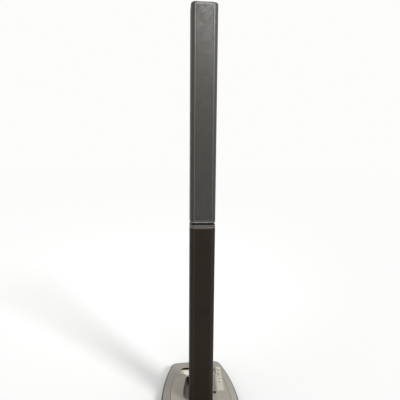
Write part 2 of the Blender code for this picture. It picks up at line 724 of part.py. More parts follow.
def make_master_knob():
    surface = material("knob_black", (0.014, 0.014, 0.015), 0.4)
    profile = knob_profile(MASTER_RADIUS, MASTER_HEIGHT, 0.0030, 0.012)
    turned("master_knob", profile, surface, 20, (*MASTER_AT, STAND_TOP + 0.0004))


def make_vent_strip():
    """Crosswise cooling ribs on a thin plate beside the control panel."""
    surface = material("vent_grey", (0.20, 0.18, 0.155), 0.5)
    pitch = (VENT_END - VENT_START - RIB_WIDTH) / (RIBS - 1)
    outline = comb_outline(RIBS, pitch, RIB_WIDTH, 0.002, 0.0066)
    comb = placed("vent_strip", prism_mesh("vent_strip", [outline], 0.04), surface,
                  (0.071, VENT_START, STAND_TOP - 0.006), (QUARTER, 0, QUARTER))
    boolean(comb, guide("vent_trim", prism_mesh("trim", [vent_outline()], 0.12)), "INTERSECT")
    return comb


# ---- stand: rear connectors ----------------------------------------------
ROUND_SOCKETS = [("line_input_1", -0.026), ("line_input_2", 0.002), ("sub_output", 0.030)]
ROCKER_X = 0.056
INLET_X = 0.085
REAR_MID_Z = (REAR_Z[0] + REAR_Z[1]) / 2


def make_rear_panel():
    surface = material("rear_plate", (0.03, 0.03, 0.032), 0.45, 0.3)
    size = (REAR_RIGHT - REAR_LEFT - 2 * GAP, REAR_PANEL_THICK, REAR_Z[1] - REAR_Z[0] - 2 * GAP)
    place = ((REAR_LEFT + REAR_RIGHT) / 2, REAR_PANEL_Y + REAR_PANEL_THICK / 2, REAR_MID_Z)
    plate = placed("rear_panel", box_mesh("rear_panel", size), surface, place)
    for name, x in ROUND_SOCKETS:
        boolean(plate, guide(f"{name}_hole", cylinder_mesh("hole", 0.0112, 0.02, 20),
                             (x, REAR_PANEL_Y, REAR_MID_Z), (QUARTER, 0, 0)))
    boolean(plate, guide("rocker_hole", box_mesh("rocker_hole", (0.0156, 0.02, 0.0236)),
                         (ROCKER_X, REAR_PANEL_Y, REAR_MID_Z)))
    boolean(plate, guide("inlet_hole", box_mesh("inlet_hole", (0.0276, 0.02, 0.0206)),
                         (INLET_X, REAR_PANEL_Y, REAR_MID_Z)))
    return plate


def make_round_sockets():
    surface = material("socket_black", (0.018, 0.018, 0.019), 0.4)
    profile = [(0.0, -0.0120), (0.0085, -0.0120), (0.0090, 0.0022), (0.0120, 0.0022), (0.0130, 0.0012),
               (0.0130, GAP), (0.0108, GAP), (0.0108, -0.0170), (0.0, -0.0170)]
    for name, x in ROUND_SOCKETS:
        turned(name, profile, surface, 18, (x, REAR_PANEL_Y + REAR_PANEL_THICK, REAR_MID_Z),
               (-QUARTER, 0, 0))


def make_mains_inlet():
    surface = material("inlet_black", (0.015, 0.015, 0.016), 0.45)
    inlet = placed("mains_inlet", box_mesh("mains_inlet", (0.0270, 0.0230, 0.0200)), surface,
                   (INLET_X, REAR_PANEL_Y - 0.0065, REAR_MID_Z))
    front = REAR_PANEL_Y + REAR_PANEL_THICK
    flange = guide("inlet_flange", box_mesh("inlet_flange", (0.0330, 0.0022, 0.0260)),
                   (INLET_X, front + GAP + 0.0011, REAR_MID_Z))
    boolean(inlet, flange, "UNION")
    shape = [(-0.0118, -0.0078, 0.001), (0.0118, -0.0078, 0.001), (0.0118, 0.0040, 0.001),
             (0.0080, 0.0078, 0.001), (-0.0080, 0.0078, 0.001), (-0.0118, 0.0040, 0.001)]
    mesh = prism_mesh("inlet_recess", [rounded_polygon(shape, 2)], 0.030)
    boolean(inlet, guide("inlet_recess", mesh, (INLET_X, front + 0.0160, REAR_MID_Z), (QUARTER, 0, 0)))
    return inlet


def make_power_switch():
    frame_surface = material("switch_frame", (0.02, 0.02, 0.021), 0.4)
    front = REAR_PANEL_Y + REAR_PANEL_THICK
    frame = placed("switch_frame", box_mesh("switch_frame", (0.0150, 0.0180, 0.0230)), frame_surface,
                   (ROCKER_X, front - 0.0075, REAR_MID_Z))
    flange = guide("switch_flange", box_mesh("switch_flange", (0.0190, 0.0018, 0.0270)),
                   (ROCKER_X, front + GAP + 0.0009, REAR_MID_Z))
    boolean(frame, flange, "UNION")
    boolean(frame, guide("switch_inside", box_mesh("switch_inside", (0.0124, 0.0300, 0.0214)),
                         (ROCKER_X, front + 0.0010, REAR_MID_Z)))
    surface = material("rocker_red", (0.30, 0.02, 0.02), 0.35)
    outline = [(-0.0055, -0.0060), (0.0, -0.0085), (0.0052, -0.0096), (0.0034, 0.0),
               (0.0052, 0.0096), (0.0, 0.0085), (-0.0055, 0.0060)]
    cos, sin = math.cos(ROCKER_TILT), math.sin(ROCKER_TILT)
    tilted = [(x * cos - y * sin, x * sin + y * cos) for x, y in outline]
    mesh = prism_mesh("power_rocker", [tilted], 0.0116)
    shape = bmesh.new()
    shape.from_mesh(mesh)
    bmesh.ops.translate(shape, verts=shape.verts, vec=(0, 0, -0.0058))
    shape.to_mesh(mesh)
    shape.free()
    rocker = placed("power_rocker", mesh, surface, (ROCKER_X, front - 0.0010, REAR_MID_Z),
                    (QUARTER, 0, QUARTER))
    return rocker


# ---- stand: inside -------------------------------------------------------
def make_electronics():
    board_surface = material("board_green", (0.02, 0.10, 0.05), 0.5)
    board = placed("amplifier_board", box_mesh("amplifier_board", (0.150, 0.160, 0.0016)), board_surface,
                   (0.070, -0.170, 0.0180))
    blocks = [((0.028, 0.020, 0.014), (0.110, -0.120)), ((0.034, 0.022, 0.010), (0.060, -0.115)),
              ((0.018, 0.018, 0.018), (0.110, -0.220)), ((0.012, 0.060, 0.008), (0.030, -0.190))]
    for number, (size, (x, y)) in enumerate(blocks, 1):
        block = guide(f"board_block_{number}", box_mesh("block", size), (x, y, 0.0180 + size[2] / 2))
        boolean(board, block, "UNION")
    metal = material("heat_sink_metal", (0.45, 0.45, 0.46), 0.4, 1.0)
    fins = comb_outline(9, 0.011, 0.002, 0.004, 0.026)
    placed("heat_sink", prism_mesh("heat_sink", [fins], 0.060), metal, (0.045, -0.140, 0.0340),
           (QUARTER, 0, 0))
    supply = material("supply_steel", (0.35, 0.35, 0.34), 0.45, 0.8)
    case = placed("power_supply", box_mesh("power_supply", (0.110, 0.150, 0.044)), supply,
                  (-0.085, -0.170, 0.0345))
    bevel(case, 0.002, 2)


def make_socket_connector():
    make_receptacle("socket_connector", PAN_FLOOR + 0.0005, SLEEVE_BOTTOM - GAP, 0.002,
                    connector_surface())


# ---- build ---------------------------------------------------------------
clear_scene()
PARTS = new_collection("column_pa_system")
CUTTERS = new_collection("cutters")

make_lower_column()
make_upper_column()
make_top_shell()
make_bottom_pan()
make_bumper()
make_feet()
make_well_liner()
make_socket_connector()
make_hand_hold()
make_control_panel()
make_master_knob()
make_vent_strip()
make_rear_panel()
make_round_sockets()
make_mains_inlet()
make_power_switch()
make_electronics()
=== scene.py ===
"""Looks for the column loudspeaker system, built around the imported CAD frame.

Metres, +Z up, the audience side is -Y. Places come from the frame's node boxes.
"""
import json
import math

import bmesh
import bpy
import numpy as np
from mathutils import Matrix, Vector


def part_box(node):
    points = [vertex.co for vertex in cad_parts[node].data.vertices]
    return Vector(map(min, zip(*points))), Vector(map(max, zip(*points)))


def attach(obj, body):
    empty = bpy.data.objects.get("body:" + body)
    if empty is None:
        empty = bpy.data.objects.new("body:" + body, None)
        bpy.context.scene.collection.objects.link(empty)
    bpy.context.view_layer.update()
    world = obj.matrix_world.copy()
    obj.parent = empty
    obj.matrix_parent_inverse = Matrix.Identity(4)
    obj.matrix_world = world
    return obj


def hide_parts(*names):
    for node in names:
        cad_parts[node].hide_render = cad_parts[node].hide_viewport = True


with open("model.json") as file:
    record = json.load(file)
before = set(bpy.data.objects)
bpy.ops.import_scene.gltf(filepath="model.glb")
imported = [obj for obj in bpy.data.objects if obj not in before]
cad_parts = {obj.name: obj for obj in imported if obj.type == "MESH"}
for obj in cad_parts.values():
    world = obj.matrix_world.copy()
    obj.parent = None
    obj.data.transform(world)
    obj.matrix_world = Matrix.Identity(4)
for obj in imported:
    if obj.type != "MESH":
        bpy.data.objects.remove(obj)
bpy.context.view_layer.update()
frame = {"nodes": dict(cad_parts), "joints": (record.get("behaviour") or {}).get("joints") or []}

GAP = 0.0003
QUARTER = math.pi / 2

# ---- driving sizes, as in the CAD -----------------------------------------
COLUMN_HALF_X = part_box("upper_top_cap")[1][0]
COLUMN_HALF_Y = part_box("upper_top_cap")[1][1]
COLUMN_RADIUS = 0.025
WALL = 0.003
SEAM_ANGLE = math.radians(18.7)
GRILLE_CROWN = 0.0018
GRILLE_SHEET = 0.0012
GRILLE_FLANGE = 0.008
HOLE_PITCH = 0.0050
HOLE_RADIUS = 0.0019

STAND_HALF_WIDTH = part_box("base_bumper")[1][0]
STAND_HALF_LENGTH = -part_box("base_bumper")[0][1]
STAND_SIDE_RADIUS = 0.955
STAND_END_RADIUS = 2.2
STAND_CORNER = 0.034
BUMPER_PROUD = 0.006
STAND_TOP = 0.083
SHELL_WALL = 0.003
SHELL_SHOULDER = 0.0573
PLATEAU_HALF_WIDTH = 0.1645
PLATEAU_HALF_LENGTH = 0.1785
PLATEAU_SIDE_RADIUS = 0.685
PLATEAU_CORNER = 0.022
PLATEAU_EDGE_Z = 0.0806
GROOVE_WIDTH = 0.0026
GROOVE_DEPTH = 0.0022

WELL_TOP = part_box("well_liner")[1][2]
WELL_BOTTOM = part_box("well_liner")[0][2]
WELL_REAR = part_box("well_liner")[1][1]
WELL_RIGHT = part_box("well_liner")[1][0]
WELL_NEAR = -0.004
WELL_LEFT_NEAR = -0.0945
WELL_LEFT_REAR = -0.0725
WELL_FLOOR = 0.046
WELL_WALL = 0.0022
DEEP_FLOOR = 0.031

HOLD_HALF = 0.1105
HOLD_REAR = 0.277
HOLD_TIP = 0.229
HOLD_FRONT = 0.184
PLATE_FRONT = (0.1845, 0.0790)
PLATE_END = (0.271, 0.0535)
PLATE_THICK = 0.003
PANEL_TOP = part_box("control_panel")[1][2]
PANEL_THICK = 0.002
MARK_LIFT = 0.00005
KNOB_FLUTES = 18
KNOB_HEIGHT = 0.0105
KNOB_HOLE = 0.0036
MASTER_FLUTES = 30
MASTER_HEIGHT = 0.0050
JACK_HOLE = 0.0050
LAMP_HOLE = 0.0022
LAMP_RADIUS = 0.0018
LAMP_RISE = 0.0012
SHADE_START_Y = 0.1
SHADE_MARGIN = 0.001
REAR_WALL_DEPTH = 0.006
MARGIN_DROP = 0.0002


# ---- materials --------------------------------------------------------------
def finish(name, color, roughness, metallic=0.0, mottle=0.10, mottle_scale=14.0, grain=0.10,
           grain_scale=1400.0, stretch=(1.0, 1.0, 1.0), wear=0.25, worn=None, coat=0.0, specular=0.5,
           rough_spread=0.08, emission=0.0):
    """A painted, moulded or plated surface: mottled colour, fine grain, worn edges, varied gloss."""
    made = bpy.data.materials.new(name)
    made.use_nodes = True
    tree = made.node_tree
    nodes, links = tree.nodes, tree.links
    shader = nodes["Principled BSDF"]
    shader.inputs["Metallic"].default_value = metallic
    shader.inputs["Coat Weight"].default_value = coat
    shader.inputs["Specular IOR Level"].default_value = specular
    made.diffuse_color = (*color, 1.0)
    place = nodes.new("ShaderNodeTexCoord")
    scaled = nodes.new("ShaderNodeMapping")
    scaled.inputs["Scale"].default_value = stretch
    links.new(place.outputs["Object"], scaled.inputs["Vector"])

    def noise(scale, detail):
        node = nodes.new("ShaderNodeTexNoise")
        node.inputs["Scale"].default_value = scale
        node.inputs["Detail"].default_value = detail
        links.new(scaled.outputs["Vector"], node.inputs["Vector"])
        return node.outputs["Fac"]

    def spread(value, low, high):
        node = nodes.new("ShaderNodeMapRange")
        node.inputs["From Min"].default_value = 0.3
        node.inputs["From Max"].default_value = 0.7
        node.inputs["To Min"].default_value = low
        node.inputs["To Max"].default_value = high
        links.new(value, node.inputs["Value"])
        return node.outputs["Result"]

    def blended(factor, first, second):
        node = nodes.new("ShaderNodeMix")
        node.data_type = "RGBA"
        links.new(factor, node.inputs["Factor"])
        for socket, value in ((node.inputs["A"], first), (node.inputs["B"], second)):
            if isinstance(value, bpy.types.NodeSocket):
                links.new(value, socket)
            else:
                socket.default_value = (*value, 1.0)
        return node.outputs["Result"]

    dark = tuple(value * (1 - mottle) for value in color)
    light = tuple(min(1.0, value * (1 + mottle)) for value in color)
    cloudy = noise(mottle_scale, 4.0)
    tone = blended(spread(cloudy, 0.0, 1.0), dark, light)
    fine = noise(grain_scale, 2.0)
    speck = tuple(value * (1 - 0.5 * mottle) for value in light)
    tone = blended(spread(fine, 0.0, 0.35), tone, speck)
    if wear:
        edge = nodes.new("ShaderNodeNewGeometry")
        ramp = nodes.new("ShaderNodeMapRange")
        ramp.inputs["From Min"].default_value = 0.52
        ramp.inputs["From Max"].default_value = 0.60
        ramp.inputs["To Min"].default_value = 0.0
        ramp.inputs["To Max"].default_value = wear
        links.new(edge.outputs["Pointiness"], ramp.inputs["Value"])
        rubbed = worn or tuple(min(1.0, value * 1.7 + 0.015) for value in color)
        tone = blended(ramp.outputs["Result"], tone, rubbed)
    links.new(tone, shader.inputs["Base Color"])
    if emission:
        shader.inputs["Emission Color"].default_value = (*color, 1.0)
        shader.inputs["Emission Strength"].default_value = emission
    gloss = spread(noise(mottle_scale * 3.1, 5.0), max(0.03, roughness - rough_spread),
                   min(1.0, roughness + rough_spread))
    links.new(gloss, shader.inputs["Roughness"])
    bump = nodes.new("ShaderNodeBump")
    bump.inputs["Strength"].default_value = grain
    bump.inputs["Distance"].default_value = 0.0002
    links.new(fine, bump.inputs["Height"])
    links.new(bump.outputs["Normal"], shader.inputs["Normal"])
    return made


SURFACES = {
    # The plain column and grille finishes are the lit copies for the upper section. The lower section gets
    # darker copies of the same paints: painted shade, so the column is darker towards the bottom.
    "column": finish("column_paint", (0.022, 0.020, 0.016), 0.46, grain=0.22, grain_scale=1100, mottle=0.07,
                     specular=0.24),
    "column_painted_shade": finish("column_paint_painted_shade", (0.010, 0.008, 0.006), 0.54, grain=0.22, grain_scale=1100,
                         mottle=0.10, specular=0.09),
    "grille": finish("grille_powder_coat", (0.052, 0.050, 0.044), 0.47, grain=0.25, grain_scale=1800,
                     mottle=0.06, wear=0.12, specular=0.30),
    "grille_painted_shade": finish("grille_powder_coat_painted_shade", (0.022, 0.017, 0.0115), 0.58, grain=0.25,
                         grain_scale=1800, mottle=0.08, wear=0.12, specular=0.12),
    "baffle": finish("baffle_paint", (0.006, 0.006, 0.006), 0.85, grain=0.3, grain_scale=500, wear=0,
                     specular=0.05),
    "cone": finish("driver_cone", (0.006, 0.006, 0.006), 0.80, grain=0.5, grain_scale=900, wear=0,
                   specular=0.05),
    "connector": finish("connector_plastic", (0.016, 0.016, 0.017), 0.40, grain=0.1),
    "cap": finish("cap_satin", (0.011, 0.010, 0.009), 0.48, grain=0.14, grain_scale=1500, wear=0.25,
                  specular=0.14),
    # Bright finish for the joint's beads: a painted highlight standing in for the light's glint on their
    # rounded lips.
    "ridge": finish("ridge_painted_highlight", (0.17, 0.165, 0.155), 0.30, 0.4, grain=0.12, grain_scale=900, mottle=0.16,
                    mottle_scale=40, worn=(0.40, 0.39, 0.37)),
    "stand": finish("stand_moulding", (0.275, 0.254, 0.216), 0.54, grain=0.42, grain_scale=1300, mottle=0.07,
                    mottle_scale=9, wear=0.20),
    # Darker copy of the stand moulding for the sloping margin: painted shade.
    "margin": finish("stand_margin_painted_shade", (0.222, 0.204, 0.174), 0.54, grain=0.42, grain_scale=1300, mottle=0.07,
                     mottle_scale=9, wear=0.20),
    "pan": finish("pan_paint", (0.026, 0.026, 0.028), 0.50, 0.2, grain=0.25, grain_scale=1600),
    "bumper": finish("bumper_rubber", (0.018, 0.018, 0.020), 0.72, grain=0.4, grain_scale=900, mottle=0.25,
                     mottle_scale=30, wear=0.15, specular=0.3),
    "foot": finish("foot_rubber", (0.015, 0.015, 0.016), 0.82, grain=0.4, grain_scale=700, mottle=0.2,
                   specular=0.3),
    "well": finish("well_moulding", (0.150, 0.118, 0.092), 0.55, grain=0.4, grain_scale=1200, mottle=0.10),
    # The black cup moulding also serves as painted shade in the column well.
    "cup": finish("cup_moulding_and_well_shade", (0.012, 0.012, 0.012), 0.6, grain=0.35, grain_scale=1200),
    "silver": finish("hold_silver", (0.66, 0.63, 0.53), 0.40, 0.10, grain=0.10, grain_scale=420, mottle=0.04,
                     stretch=(0.12, 1.0, 1.0), wear=0.25, worn=(0.75, 0.73, 0.68)),
    "screw": finish("screw_oxide", (0.020, 0.020, 0.022), 0.34, 0.7, grain=0.1, worn=(0.25, 0.25, 0.26)),
    "panel": finish("panel_silver", (0.43, 0.400, 0.335), 0.38, 0.2, grain=0.10, grain_scale=420, mottle=0.04,
                    stretch=(1.0, 0.10, 1.0), wear=0.25, worn=(0.82, 0.80, 0.75)),
    "mark": finish("dial_mark", (0.045, 0.045, 0.048), 0.55, mottle=0.05, wear=0),
    "pointer": finish("pointer_white", (0.72, 0.71, 0.68), 0.45, mottle=0.05, wear=0),
    "knob": finish("knob_grey", (0.40, 0.39, 0.36), 0.42, grain=0.2, grain_scale=2200, wear=0.3),
    "nickel": finish("nickel_plate", (0.64, 0.62, 0.58), 0.24, 1.0, grain=0.06, grain_scale=1500, mottle=0.05,
                     worn=(0.80, 0.78, 0.74)),
    "bore": finish("bore_black", (0.006, 0.006, 0.006), 0.6, grain=0.1, wear=0),
    "brass": finish("contact_brass", (0.66, 0.46, 0.20), 0.28, 1.0, grain=0.06, mottle=0.08),
    "led": finish("led_lens", (0.06, 0.42, 0.12), 0.18, grain=0.02, wear=0, emission=0.25),
    "master": finish("master_soft_touch", (0.013, 0.013, 0.014), 0.46, grain=0.2, grain_scale=2000, wear=0.2),
    "vent": finish("vent_moulding", (0.225, 0.196, 0.160), 0.52, grain=0.3, grain_scale=1300),
    "rear": finish("rear_paint", (0.028, 0.028, 0.030), 0.46, 0.2, grain=0.25, grain_scale=1600),
    "socket": finish("socket_plastic", (0.017, 0.017, 0.018), 0.38, grain=0.12, grain_scale=1800),
    "rocker": finish("rocker_gloss", (0.34, 0.018, 0.016), 0.24, grain=0.03, coat=0.3, wear=0.15),
    "board": finish("board_mask", (0.015, 0.095, 0.045), 0.36, mottle=0.15, mottle_scale=60, wear=0),
    "steel": finish("supply_zinc", (0.42, 0.42, 0.41), 0.36, 0.9, grain=0.15, mottle=0.15, mottle_scale=50),
    "sink": finish("sink_aluminium", (0.50, 0.50, 0.51), 0.34, 1.0, grain=0.12, grain_scale=500,
                   stretch=(1.0, 0.1, 1.0)),
}


# ---- outlines ---------------------------------------------------------------
def arc(centre, radius, start, end, steps):
    angles = [start + (end - start) * index / steps for index in range(steps + 1)]
    return [(centre[0] + radius * math.cos(a), centre[1] + radius * math.sin(a)) for a in angles]


def rounded_polygon(corners, steps=8):
    """Corners are (x, y, radius), counter-clockwise; each becomes an arc."""
    points = []
    for index, (x, y, radius) in enumerate(corners):
        here = Vector((x, y))
        before = (Vector(corners[index - 1][:2]) - here).normalized()
        after = (Vector(corners[(index + 1) % len(corners)][:2]) - here).normalized()
        half = before.angle(after) / 2
        centre = here + (before + after).normalized() * (radius / math.sin(half))
        first = here + before * (radius / math.tan(half)) - centre
        base = math.atan2(first.y, first.x)
        points += arc(centre, radius, base, base + math.pi - 2 * half, steps)
    return points


def rectangle(half_x, half_y, radius, steps=8):
    corners = [(half_x, -half_y), (half_x, half_y), (-half_x, half_y), (-half_x, -half_y)]
    return rounded_polygon([(x, y, radius) for x, y in corners], steps)


def column_outline(inset=0.0, steps=14):
    return rectangle(COLUMN_HALF_X - inset, COLUMN_HALF_Y - inset, COLUMN_RADIUS - inset, steps)


def channel_outline(steps=16):
    """The column's wall: a rounded rectangle left open across the front."""
    x, y = COLUMN_HALF_X - COLUMN_RADIUS, COLUMN_HALF_Y - COLUMN_RADIUS
    corners = [(x, -y, -QUARTER + SEAM_ANGLE, 0), (x, y, 0, QUARTER), (-x, y, QUARTER, 2 * QUARTER),
               (-x, -y, 2 * QUARTER, 3 * QUARTER - SEAM_ANGLE)]
    outer, inner = [], []
    for cx, cy, start, end in corners:
        outer += arc((cx, cy), COLUMN_RADIUS, start, end, steps)
        inner += arc((cx, cy), COLUMN_RADIUS - WALL, start, end, steps)
    return outer + inner[::-1]


def seam_point(radius):
    x, y = COLUMN_HALF_X - COLUMN_RADIUS, COLUMN_RADIUS - COLUMN_HALF_Y
    return x + radius * math.sin(SEAM_ANGLE), y - radius * math.cos(SEAM_ANGLE)


def stand_outline(half_width, half_length, side_radius, corner, steps=18):
    """Bowed sides, nearly straight ends and round corners, counter-clockwise."""
    side, end = Vector((half_width - side_radius, 0.0)), Vector((0.0, half_length - STAND_END_RADIUS))
    reach_side, reach_end = side_radius - corner, STAND_END_RADIUS - corner
    span = (end - side).length
    along = (reach_side ** 2 - reach_end ** 2 + span ** 2) / (2 * span)
    across = math.sqrt(reach_side ** 2 - along ** 2)
    unit = (end - side).normalized()
    centre = side + unit * along + Vector((-unit.y, unit.x)) * across
    side_angle = math.atan2((centre - side).y, (centre - side).x)
    end_angle = math.atan2((centre - end).y, (centre - end).x)
    quarter = arc(side, side_radius, 0.0, side_angle, steps)
    quarter += arc(centre, corner, side_angle, end_angle, steps)[1:]
    quarter += arc(end, STAND_END_RADIUS, end_angle, QUARTER, steps // 2)[1:]
    upper = quarter + [(-x, y) for x, y in quarter[-2::-1]]
    return upper + [(x, -y) for x, y in upper[-2:0:-1]]


def rim_outline(inset):
    return stand_outline(STAND_HALF_WIDTH - inset, STAND_HALF_LENGTH - inset,
                         STAND_SIDE_RADIUS - inset, STAND_CORNER - inset)


def plateau_outline(inset):
    return stand_outline(PLATEAU_HALF_WIDTH - inset, PLATEAU_HALF_LENGTH - inset,
                         PLATEAU_SIDE_RADIUS - inset, PLATEAU_CORNER - inset)


def well_outline(inset=0.0):
    return rounded_polygon([
        (WELL_RIGHT - inset, WELL_NEAR + inset, 0.012),
        (WELL_RIGHT - inset, WELL_REAR - inset, 0.014 - inset),
        (WELL_LEFT_REAR + inset, WELL_REAR - inset, 0.014 - inset),
        (WELL_LEFT_NEAR + inset + 0.0005, 0.060, 0.100),
        (WELL_LEFT_NEAR + inset, WELL_NEAR + inset, 0.026 - inset)])


def hold_outline(inset=0.0, rear=HOLD_REAR):
    half = [(HOLD_HALF - 0.0485, HOLD_FRONT + inset, 0.034), (HOLD_HALF - inset, HOLD_TIP, 0.010),
            (HOLD_HALF - 0.0205, rear - inset, 0.020)]
    return rounded_polygon(half + [(-x, y, radius) for x, y, radius in reversed(half)])


def panel_outline(grow=0.0):
    return rounded_polygon([
        (0.0985 - grow, 0.0405 - grow, 0.003 + grow), (0.1405 + grow, 0.0385 - grow, 0.003 + grow),
        (0.1465 + grow, 0.2350 + grow, 0.003 + grow), (0.1225 - grow, 0.2465 + grow, 0.003 + grow)], 5)


def vent_outline(grow=0.0):
    start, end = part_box("vent_strip")[0][1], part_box("vent_strip")[1][1]
    return rounded_polygon([
        (0.0785 - grow, start - grow, 0.002 + grow), (0.0945 + grow, start - grow, 0.002 + grow),
        (0.1030 + grow, end + grow, 0.002 + grow), (0.0865 - grow, end + grow, 0.002 + grow)], 4)


def filleted(points, radius, steps=4):
    """An open line with its inner corners rounded."""
    line = [tuple(points[0])]
    for before, here, after in zip(points, points[1:], points[2:]):
        corner = Vector(here)
        one, two = Vector(before) - corner, Vector(after) - corner
        reach = min(radius / math.tan(one.angle(two) / 2), 0.48 * one.length, 0.48 * two.length)
        start, end = corner + one.normalized() * reach, corner + two.normalized() * reach
        for index in range(steps + 1):
            t = index / steps
            line.append(tuple(start * (1 - t) ** 2 + corner * 2 * t * (1 - t) + end * t * t))
    return line + [tuple(points[-1])]


# ---- meshes -----------------------------------------------------------------
def smooth(mesh, angle=32):
    mesh.shade_smooth()
    mesh.set_sharp_from_angle(angle=math.radians(angle))
    return modified(mesh, "WEIGHTED_NORMAL", keep_sharp=True)


def prism(outlines, depth, low=0.0):
    """A flat outline, or an outline with holes, standing on z = low."""
    flat = bpy.data.curves.new("flat", "CURVE")
    flat.dimensions = "2D"
    flat.fill_mode = "BOTH"
    flat.extrude = depth / 2
    for outline in outlines:
        spline = flat.splines.new("POLY")
        spline.points.add(len(outline) - 1)
        for point, (x, y) in zip(spline.points, outline):
            point.co = (x, y, 0.0, 1.0)
        spline.use_cyclic_u = True
    holder = bpy.data.objects.new("flat", flat)
    bpy.context.scene.collection.objects.link(holder)
    mesh = bpy.data.meshes.new_from_object(holder.evaluated_get(bpy.context.evaluated_depsgraph_get()))
    bpy.data.objects.remove(holder, do_unlink=True)
    bpy.data.curves.remove(flat)
    shape = bmesh.new()
    shape.from_mesh(mesh)
    bmesh.ops.remove_doubles(shape, verts=shape.verts, dist=0.00001)
    bmesh.ops.translate(shape, verts=shape.verts, vec=(0, 0, low + depth / 2))
    bmesh.ops.recalc_face_normals(shape, faces=shape.faces)
    shape.to_mesh(mesh)
    shape.free()
    return mesh


def loft(rings, floor=True, roof=True):
    """Skin outlines with the same number of points, bottom to top; each ring is (outline, z)."""
    shape = bmesh.new()
    loops = [[shape.verts.new((x, y, z)) for x, y in outline] for outline, z in rings]
    for low, high in zip(loops, loops[1:]):
        for index in range(len(low)):
            after = (index + 1) % len(low)
            shape.faces.new((low[index], low[after], high[after], high[index]))
    if roof:
        shape.faces.new(loops[-1])
    if floor:
        shape.faces.new(loops[0][::-1])
    mesh = bpy.data.meshes.new("loft")
    shape.to_mesh(mesh)
    shape.free()
    return mesh


def turned(profile, steps=40, flutes=0, depth=0.0, fluted=()):
    """Turn (radius, height) points, top axis point first; rings named in fluted get grip flutes."""
    shape = bmesh.new()
    rings = []
    for number, (radius, height) in enumerate(profile):
        if radius < 1e-6:
            rings.append([shape.verts.new((0, 0, height))])
            continue
        ring = []
        for index in range(steps):
            angle = 2 * math.pi * index / steps
            reach = radius - (depth * (0.5 + 0.5 * math.cos(flutes * angle)) if number in fluted else 0.0)
            ring.append(shape.verts.new((reach * math.cos(angle), reach * math.sin(angle), height)))
        rings.append(ring)
    for upper, lower in zip(rings, rings[1:]):
        for index in range(steps):
            after = index + 1
            corners = [upper[index % len(upper)], lower[index % len(lower)],
                       lower[after % len(lower)], upper[after % len(upper)]]
            corners = list(dict.fromkeys(corners))
            if len(corners) > 2:
                shape.faces.new(corners)
    mesh = bpy.data.meshes.new("turned")
    shape.to_mesh(mesh)
    shape.free()
    return mesh


def box(size, centre=(0, 0, 0)):
    mesh = bpy.data.meshes.new("box")
    shape = bmesh.new()
    bmesh.ops.create_cube(shape, size=1.0)
    bmesh.ops.scale(shape, verts=shape.verts, vec=size)
    bmesh.ops.translate(shape, verts=shape.verts, vec=centre)
    shape.to_mesh(mesh)
    shape.free()
    return mesh


def moved(mesh, location=(0, 0, 0), turn=None):
    mesh.transform(Matrix.Translation(location) @ (turn or Matrix.Identity(4)))
    return mesh


def modified(mesh, kind, **settings):
    """The mesh after one modifier."""
    holder = bpy.data.objects.new("holder", mesh)
    bpy.context.scene.collection.objects.link(holder)
    step = holder.modifiers.new("step", kind)
    for key, value in settings.items():
        setattr(step, key, value)
    made = bpy.data.meshes.new_from_object(holder.evaluated_get(bpy.context.evaluated_depsgraph_get()))
    bpy.data.objects.remove(holder, do_unlink=True)
    return made


def combined(mesh, tool, operation="DIFFERENCE"):
    cutter = bpy.data.objects.new("cutter", tool)
    bpy.context.scene.collection.objects.link(cutter)
    made = modified(mesh, "BOOLEAN", operation=operation, solver="EXACT", object=cutter)
    bpy.data.objects.remove(cutter, do_unlink=True)
    return made


def eased(mesh, width, segments=3, angle=40):
    return modified(mesh, "BEVEL", width=width, segments=segments, limit_method="ANGLE",
                    angle_limit=math.radians(angle), use_clamp_overlap=True)


def joined(meshes):
    shape = bmesh.new()
    for mesh in meshes:
        shape.from_mesh(mesh)
    made = bpy.data.meshes.new("joined")
    shape.to_mesh(made)
    shape.free()
    return made


def piece(name, mesh, body, slot, surface=None, stands_for=(), location=(0, 0, 0), turn=None):
    """Add a finished piece that rides on a body; its finish is the given surface, or else the one keyed by
    its slot name.
    """
    obj = bpy.data.objects.new(name, mesh)
    bpy.context.scene.collection.objects.link(obj)
    mesh.materials.clear()
    mesh.materials.append(SURFACES[surface or slot])
    obj.matrix_world = Matrix.Translation(location) @ (turn or Matrix.Identity(4))
    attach(obj, body)
    if stands_for:
        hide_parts(*stands_for)
    return obj


def middle(node):
    low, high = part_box(node)
    return Vector([(a + b) / 2 for a, b in zip(low, high)])


# ---- column -----------------------------------------------------------------
def grille_curve():
    """Crown radius and centre of the grille's front face."""
    edge, edge_y = seam_point(COLUMN_RADIUS)
    half = edge - GAP
    radius = (half ** 2 + GRILLE_CROWN ** 2) / (2 * GRILLE_CROWN)
    return half, edge_y, radius, edge_y - GRILLE_CROWN + radius


def face_y(x, sink=0.0):
    _, _, radius, centre = grille_curve()
    return centre - np.sqrt((radius - sink) ** 2 - np.asarray(x) ** 2)


def strip_outline(left, right, flange=False, steps=12):
    """Cross-section of the grille's plain border between two x positions."""
    xs = np.linspace(left, right, steps)
    front = [(float(x), float(face_y(x))) for x in xs]
    back = [(float(x), float(face_y(x, GRILLE_SHEET))) for x in xs[::-1]]
    if not flange:
        return front + back
    lip = seam_point(COLUMN_RADIUS - WALL)[0] - GAP
    end_y = seam_point(COLUMN_RADIUS)[1] + GRILLE_FLANGE
    inner = lip - GRILLE_SHEET
    back_y = float(face_y(inner, GRILLE_SHEET))
    hem = [(lip, front[-1][1] + 0.0032), (lip, end_y), (inner, end_y), (inner, back_y)]
    return front + hem + [point for point in back if point[0] < inner - 0.0002]


